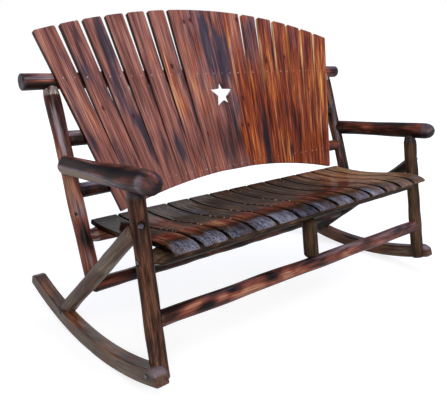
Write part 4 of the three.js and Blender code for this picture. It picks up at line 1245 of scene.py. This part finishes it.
# Skin of a rocker: a round-cornered section carried along an arc, flat where it rests, with worn upper ends.
def makeRocker(name, side, seed):
    R = rocker["radius"]
    a0, a1 = -math.radians(rocker["front"]), math.radians(rocker["rear"])
    length = (a1 - a0) * R
    away = stations(length, 5.0, 26.0, 7)
    turn = a0 + away / R
    rest = rocker["rest"] / 2 / R
    inward = np.stack([np.zeros(len(turn)), -np.sin(turn), np.cos(turn)], -1)
    centre = np.array([0, rocker["middle"], R])
    lowR = np.where(np.abs(turn) < rest, R * math.cos(rest) / np.cos(turn), R)
    end = np.minimum(away, length - away)
    drop = rocker["cornerTall"] * np.clip(1 - end / rocker["cornerLong"], 0, 1) ** 1.5
    highR = R - rocker["tall"] + drop
    halfTall = (lowR - highR) / 2
    thin, tuck = drawBack(end, 5.0)[:, None], drawBack(end, 4.0)[:, None]
    u, w, c, s = roundedSection(10, 10, 10)
    edge = rocker["edge"]
    x = side * rockerX + u * (rocker["thick"] / 2 - tuck - edge) + edge * c
    n = w * (halfTall[:, None] - thin - edge) + edge * s
    rng = np.random.default_rng(seed)
    worn = sum(0.25 * np.sin(away[:, None] / rng.uniform(12, 60) + rng.uniform(0, 6) + 2 * u) for _ in range(4))
    n = n - np.where(w > 0.99, 0.5 + worn * 0.5, 0) * (s > 0.99)
    middleR = (lowR + highR) / 2
    rows = (centre - inward * middleR[:, None])[:, None, :] + x[..., None] * np.array([1.0, 0, 0])
    return closedSkin(name, rows + n[..., None] * inward[:, None, :])


# Lays grain, warmth and stains on a rocker: dark red-brown along the top, tan-grey at the sides, and a
# painted highlight on the upper front tip.
def paintRocker(piece, side, seed):
    points = pointsOf(piece) - [side * rockerX, rocker["middle"], rocker["radius"]]
    turn = np.arctan2(points[:, 1], -points[:, 2])
    out = np.hypot(points[:, 1], points[:, 2]) - (rocker["radius"] - rocker["tall"] / 2)
    along = turn * rocker["radius"]
    layGrain(piece, seed + 900, points[:, 0], out, along)
    top = np.clip((-out - 18) / 5, 0, 1)
    setAttribute(piece.data, "warm", 0.68 - 0.36 * top - (0.16 if side > 0 else 0))
    setAttribute(piece.data, "peel", np.zeros(len(along)))
    # Painted highlight on the upper front tip.
    tip = np.clip(1.25 - (turn + math.radians(rocker["front"])) * rocker["radius"] / 30, 0, 1)
    setAttribute(piece.data, "cap", tip * np.clip((-out - 2) / 5, 0, 1))
    stains = sum(strength * np.exp(-((along - at) / long) ** 2) for at, long, strength in rocker["stains"])
    setAttribute(piece.data, "paintedSheenAndStain", stains + 0.25 * top)
    setAttribute(piece.data, "knot", np.zeros(len(along)))


for side, sign in (("left", -1), ("right", 1)):
    piece = carve(makeRocker(f"rocker_{side}_finished", sign, 300 + sign), toolsFor(f"rocker_{side}"))
    paintRocker(piece, sign, 300 + sign)
    dress(piece, f"rocker_{side}", "timber")
print("rockers made")

# The small screws that hold boards and slats.

screwLook = {"radius": 2.8, "proud": 0.1, "rails": [(460, 20), (776, 20)], "slatDepths": [46, 352]}


# One mesh of many small domed heads, each set at a point and facing along a direction.
def screwHeads(name, places, facing):
    angle = np.linspace(0, 2 * np.pi, 12, endpoint=False)
    t = np.array([1.2, 0.0, -0.35, -screwLook["proud"]])
    r = np.array([0.8, 1.0, 0.85, 0.4]) * screwLook["radius"]
    quads, caps = skinFaces(len(t), len(angle))
    rows, faces = [], []
    for at, out in zip(places, facing):
        first, second = squareTo(-out, (1, 0.1, 0.2))
        ring = at - out * t[::-1, None, None]
        ring = ring + r[::-1, None, None] * (np.cos(angle)[:, None] * first + np.sin(angle)[:, None] * second)
        base = (ring.size // 3 + 2) * len(rows)
        rows.append(skinPoints(ring))
        faces += (quads + base).tolist() + (caps + base).tolist()
    return meshObject(name, np.concatenate(rows), faces)


# Two screws a board on each rail, a little in from the edges.
def boardScrews():
    places = []
    for height, inset in screwLook["rails"]:
        s = upBoard(height)
        for sign in (-1, 1):
            for i in range(fan["aside"]):
                a0, b0 = fanLine(i, sign)
                a1, b1 = fanLine(i + 1, sign)
                share, _ = fanAt(s)
                for x in (a0 + (b0 - a0) * share + inset, a1 + (b1 - a1) * share - inset):
                    places.append(
                        boardBack + np.array([sign * x, 0, 0]) + boardUp * s + boardOut * (fan["thick"] - 0.4)
                    )
    return places, [boardOut] * len(places)


# Two screws a slat on each seat rail.
def slatScrews():
    places, facing = [], []
    for depth in screwLook["slatDepths"]:
        z = seatZ(depth)
        slope = (seatZ(depth + 3) - seatZ(depth - 3)) / 6
        out = np.array([0, -slope, 1]) / math.hypot(1, slope)
        for i in range(seat["count"]):
            middle = -seat["half"] + slatPitch * (i + 0.5)
            for off in (-24, 24):
                places.append(np.array([middle + off, depth, z]) - out * 0.3)
                facing.append(out)
    return places, facing


dress(screwHeads("back_board_screws", *boardScrews()), None, "screw")
dress(screwHeads("seat_slat_screws", *slatScrews()), None, "steel")
print("screws made")

# Stage, light and camera.

stageLook = {"floor": "#b4b4b4", "size": 80, "lift": (0.74, 1.0), "far": (1.2, 4.0)}


# A wide pale floor that shows nearly white to the camera and keeps the bench's soft shadow.
def makeFloor():
    size = stageLook["size"]
    mesh = bpy.data.meshes.new("floor")
    corners = [(-size, -size, 0), (size, -size, 0), (size, size, 0), (-size, size, 0)]
    mesh.from_pydata(corners, [], [(0, 1, 2, 3)])
    floor = bpy.data.objects.new("floor", mesh)
    bpy.context.scene.collection.objects.link(floor)
    material = bpy.data.materials.new("pale_studio_floor")
    material.use_nodes = True
    tree = material.node_tree
    tree.nodes.clear()
    matt = addNode(tree, "ShaderNodeBsdfDiffuse", {"Color": linearColor(stageLook["floor"])})
    place = addNode(tree, "ShaderNodeTexCoord").outputs["Object"]
    away = addNode(tree, "ShaderNodeVectorMath", {0: place}, operation="LENGTH")
    lift = carried(tree, away.outputs["Value"], *stageLook["far"], *stageLook["lift"])
    glow = addNode(tree, "ShaderNodeEmission", {"Color": (1, 1, 1, 1), "Strength": lift})
    direct = seenDirectly(tree)
    lit = addNode(tree, "ShaderNodeAddShader", {0: matt.outputs[0], 1: glow.outputs[0]})
    mix = addNode(tree, "ShaderNodeMixShader", {0: direct, 1: matt.outputs[0], 2: lit.outputs[0]})
    addNode(tree, "ShaderNodeOutputMaterial", {"Surface": mix.outputs[0]})
    mesh.materials.append(material)


skyLook = {"colors": [(0.22, "#ffffff"), (0.42, "#8190b4")], "strength": 0.58}


# A soft sky: white near the horizon, blue-grey overhead, by the height of the direction. The camera,
# reflections and clear things see it at full strength, and the wood is lit by less of it.
def makeSky():
    world = bpy.data.worlds.new("soft_sky")
    bpy.context.scene.world = world
    world.use_nodes = True
    tree = world.node_tree
    tree.nodes.clear()
    way = addNode(tree, "ShaderNodeTexCoord").outputs["Generated"]
    height = addNode(tree, "ShaderNodeSeparateXYZ", {0: way}).outputs["Z"]
    ramp = rampColor(tree, height, skyLook["colors"])
    power = carried(tree, seenDirectly(tree), 0.0, 1.0, skyLook["strength"], 1.0)
    back = addNode(tree, "ShaderNodeBackground", {"Color": ramp, "Strength": power})
    addNode(tree, "ShaderNodeOutputWorld", {"Surface": back.outputs[0]})


lights = {
    "key": {"at": (-1.8, -3.0, 2.6), "size": 3.0, "power": 110, "color": "#fffaf2"},
    "fill": {"at": (-0.8, -3.6, 0.9), "size": 1.8, "power": 26, "color": "#fff4e8"},
    "back": {"at": (1.4, 3.4, 2.4), "size": 2.6, "power": 60, "color": "#ffffff"},
    "skylight": {"at": (2.6, -0.4, 3.2), "size": 2.4, "power": 70, "color": "#c3ccff"},
}

lightsAim = (0, 0, 0.45)


# Each lamp turned from straight down to face the aim, by the two angles of its direction.
def makeLights():
    for name, look in lights.items():
        data = bpy.data.lights.new(name, "AREA")
        data.shape, data.size, data.energy = "DISK", look["size"], look["power"]
        data.color = linearColor(look["color"])[:3]
        lamp = bpy.data.objects.new(name, data)
        at = np.array(look["at"])
        toward = np.array(lightsAim) - at
        lamp.location = at
        lamp.rotation_euler = (
            math.acos(-toward[2] / np.linalg.norm(toward)), 0, math.atan2(toward[1], toward[0]) - math.pi / 2,
        )
        bpy.context.scene.collection.objects.link(lamp)


view = {"at": (-1272.2, -977.4, 841.7), "yaw": 41.293, "pitch": 15.565, "lens": 523.39 / 447 * 36}


def makeCamera():
    data = bpy.data.cameras.new("photograph")
    data.sensor_width, data.sensor_fit, data.lens = 36, "HORIZONTAL", view["lens"]
    data.clip_start, data.clip_end = 0.05, 100
    camera = bpy.data.objects.new("photograph", data)
    camera.location = inFrame(view["at"])
    camera.rotation_euler = (math.radians(90 - view["pitch"]), 0, -math.radians(view["yaw"]))
    bpy.context.scene.collection.objects.link(camera)
    bpy.context.scene.camera = camera


makeFloor()
makeSky()
makeLights()
makeCamera()
bpy.context.scene.view_settings.view_transform = "Standard"
print("stage set")
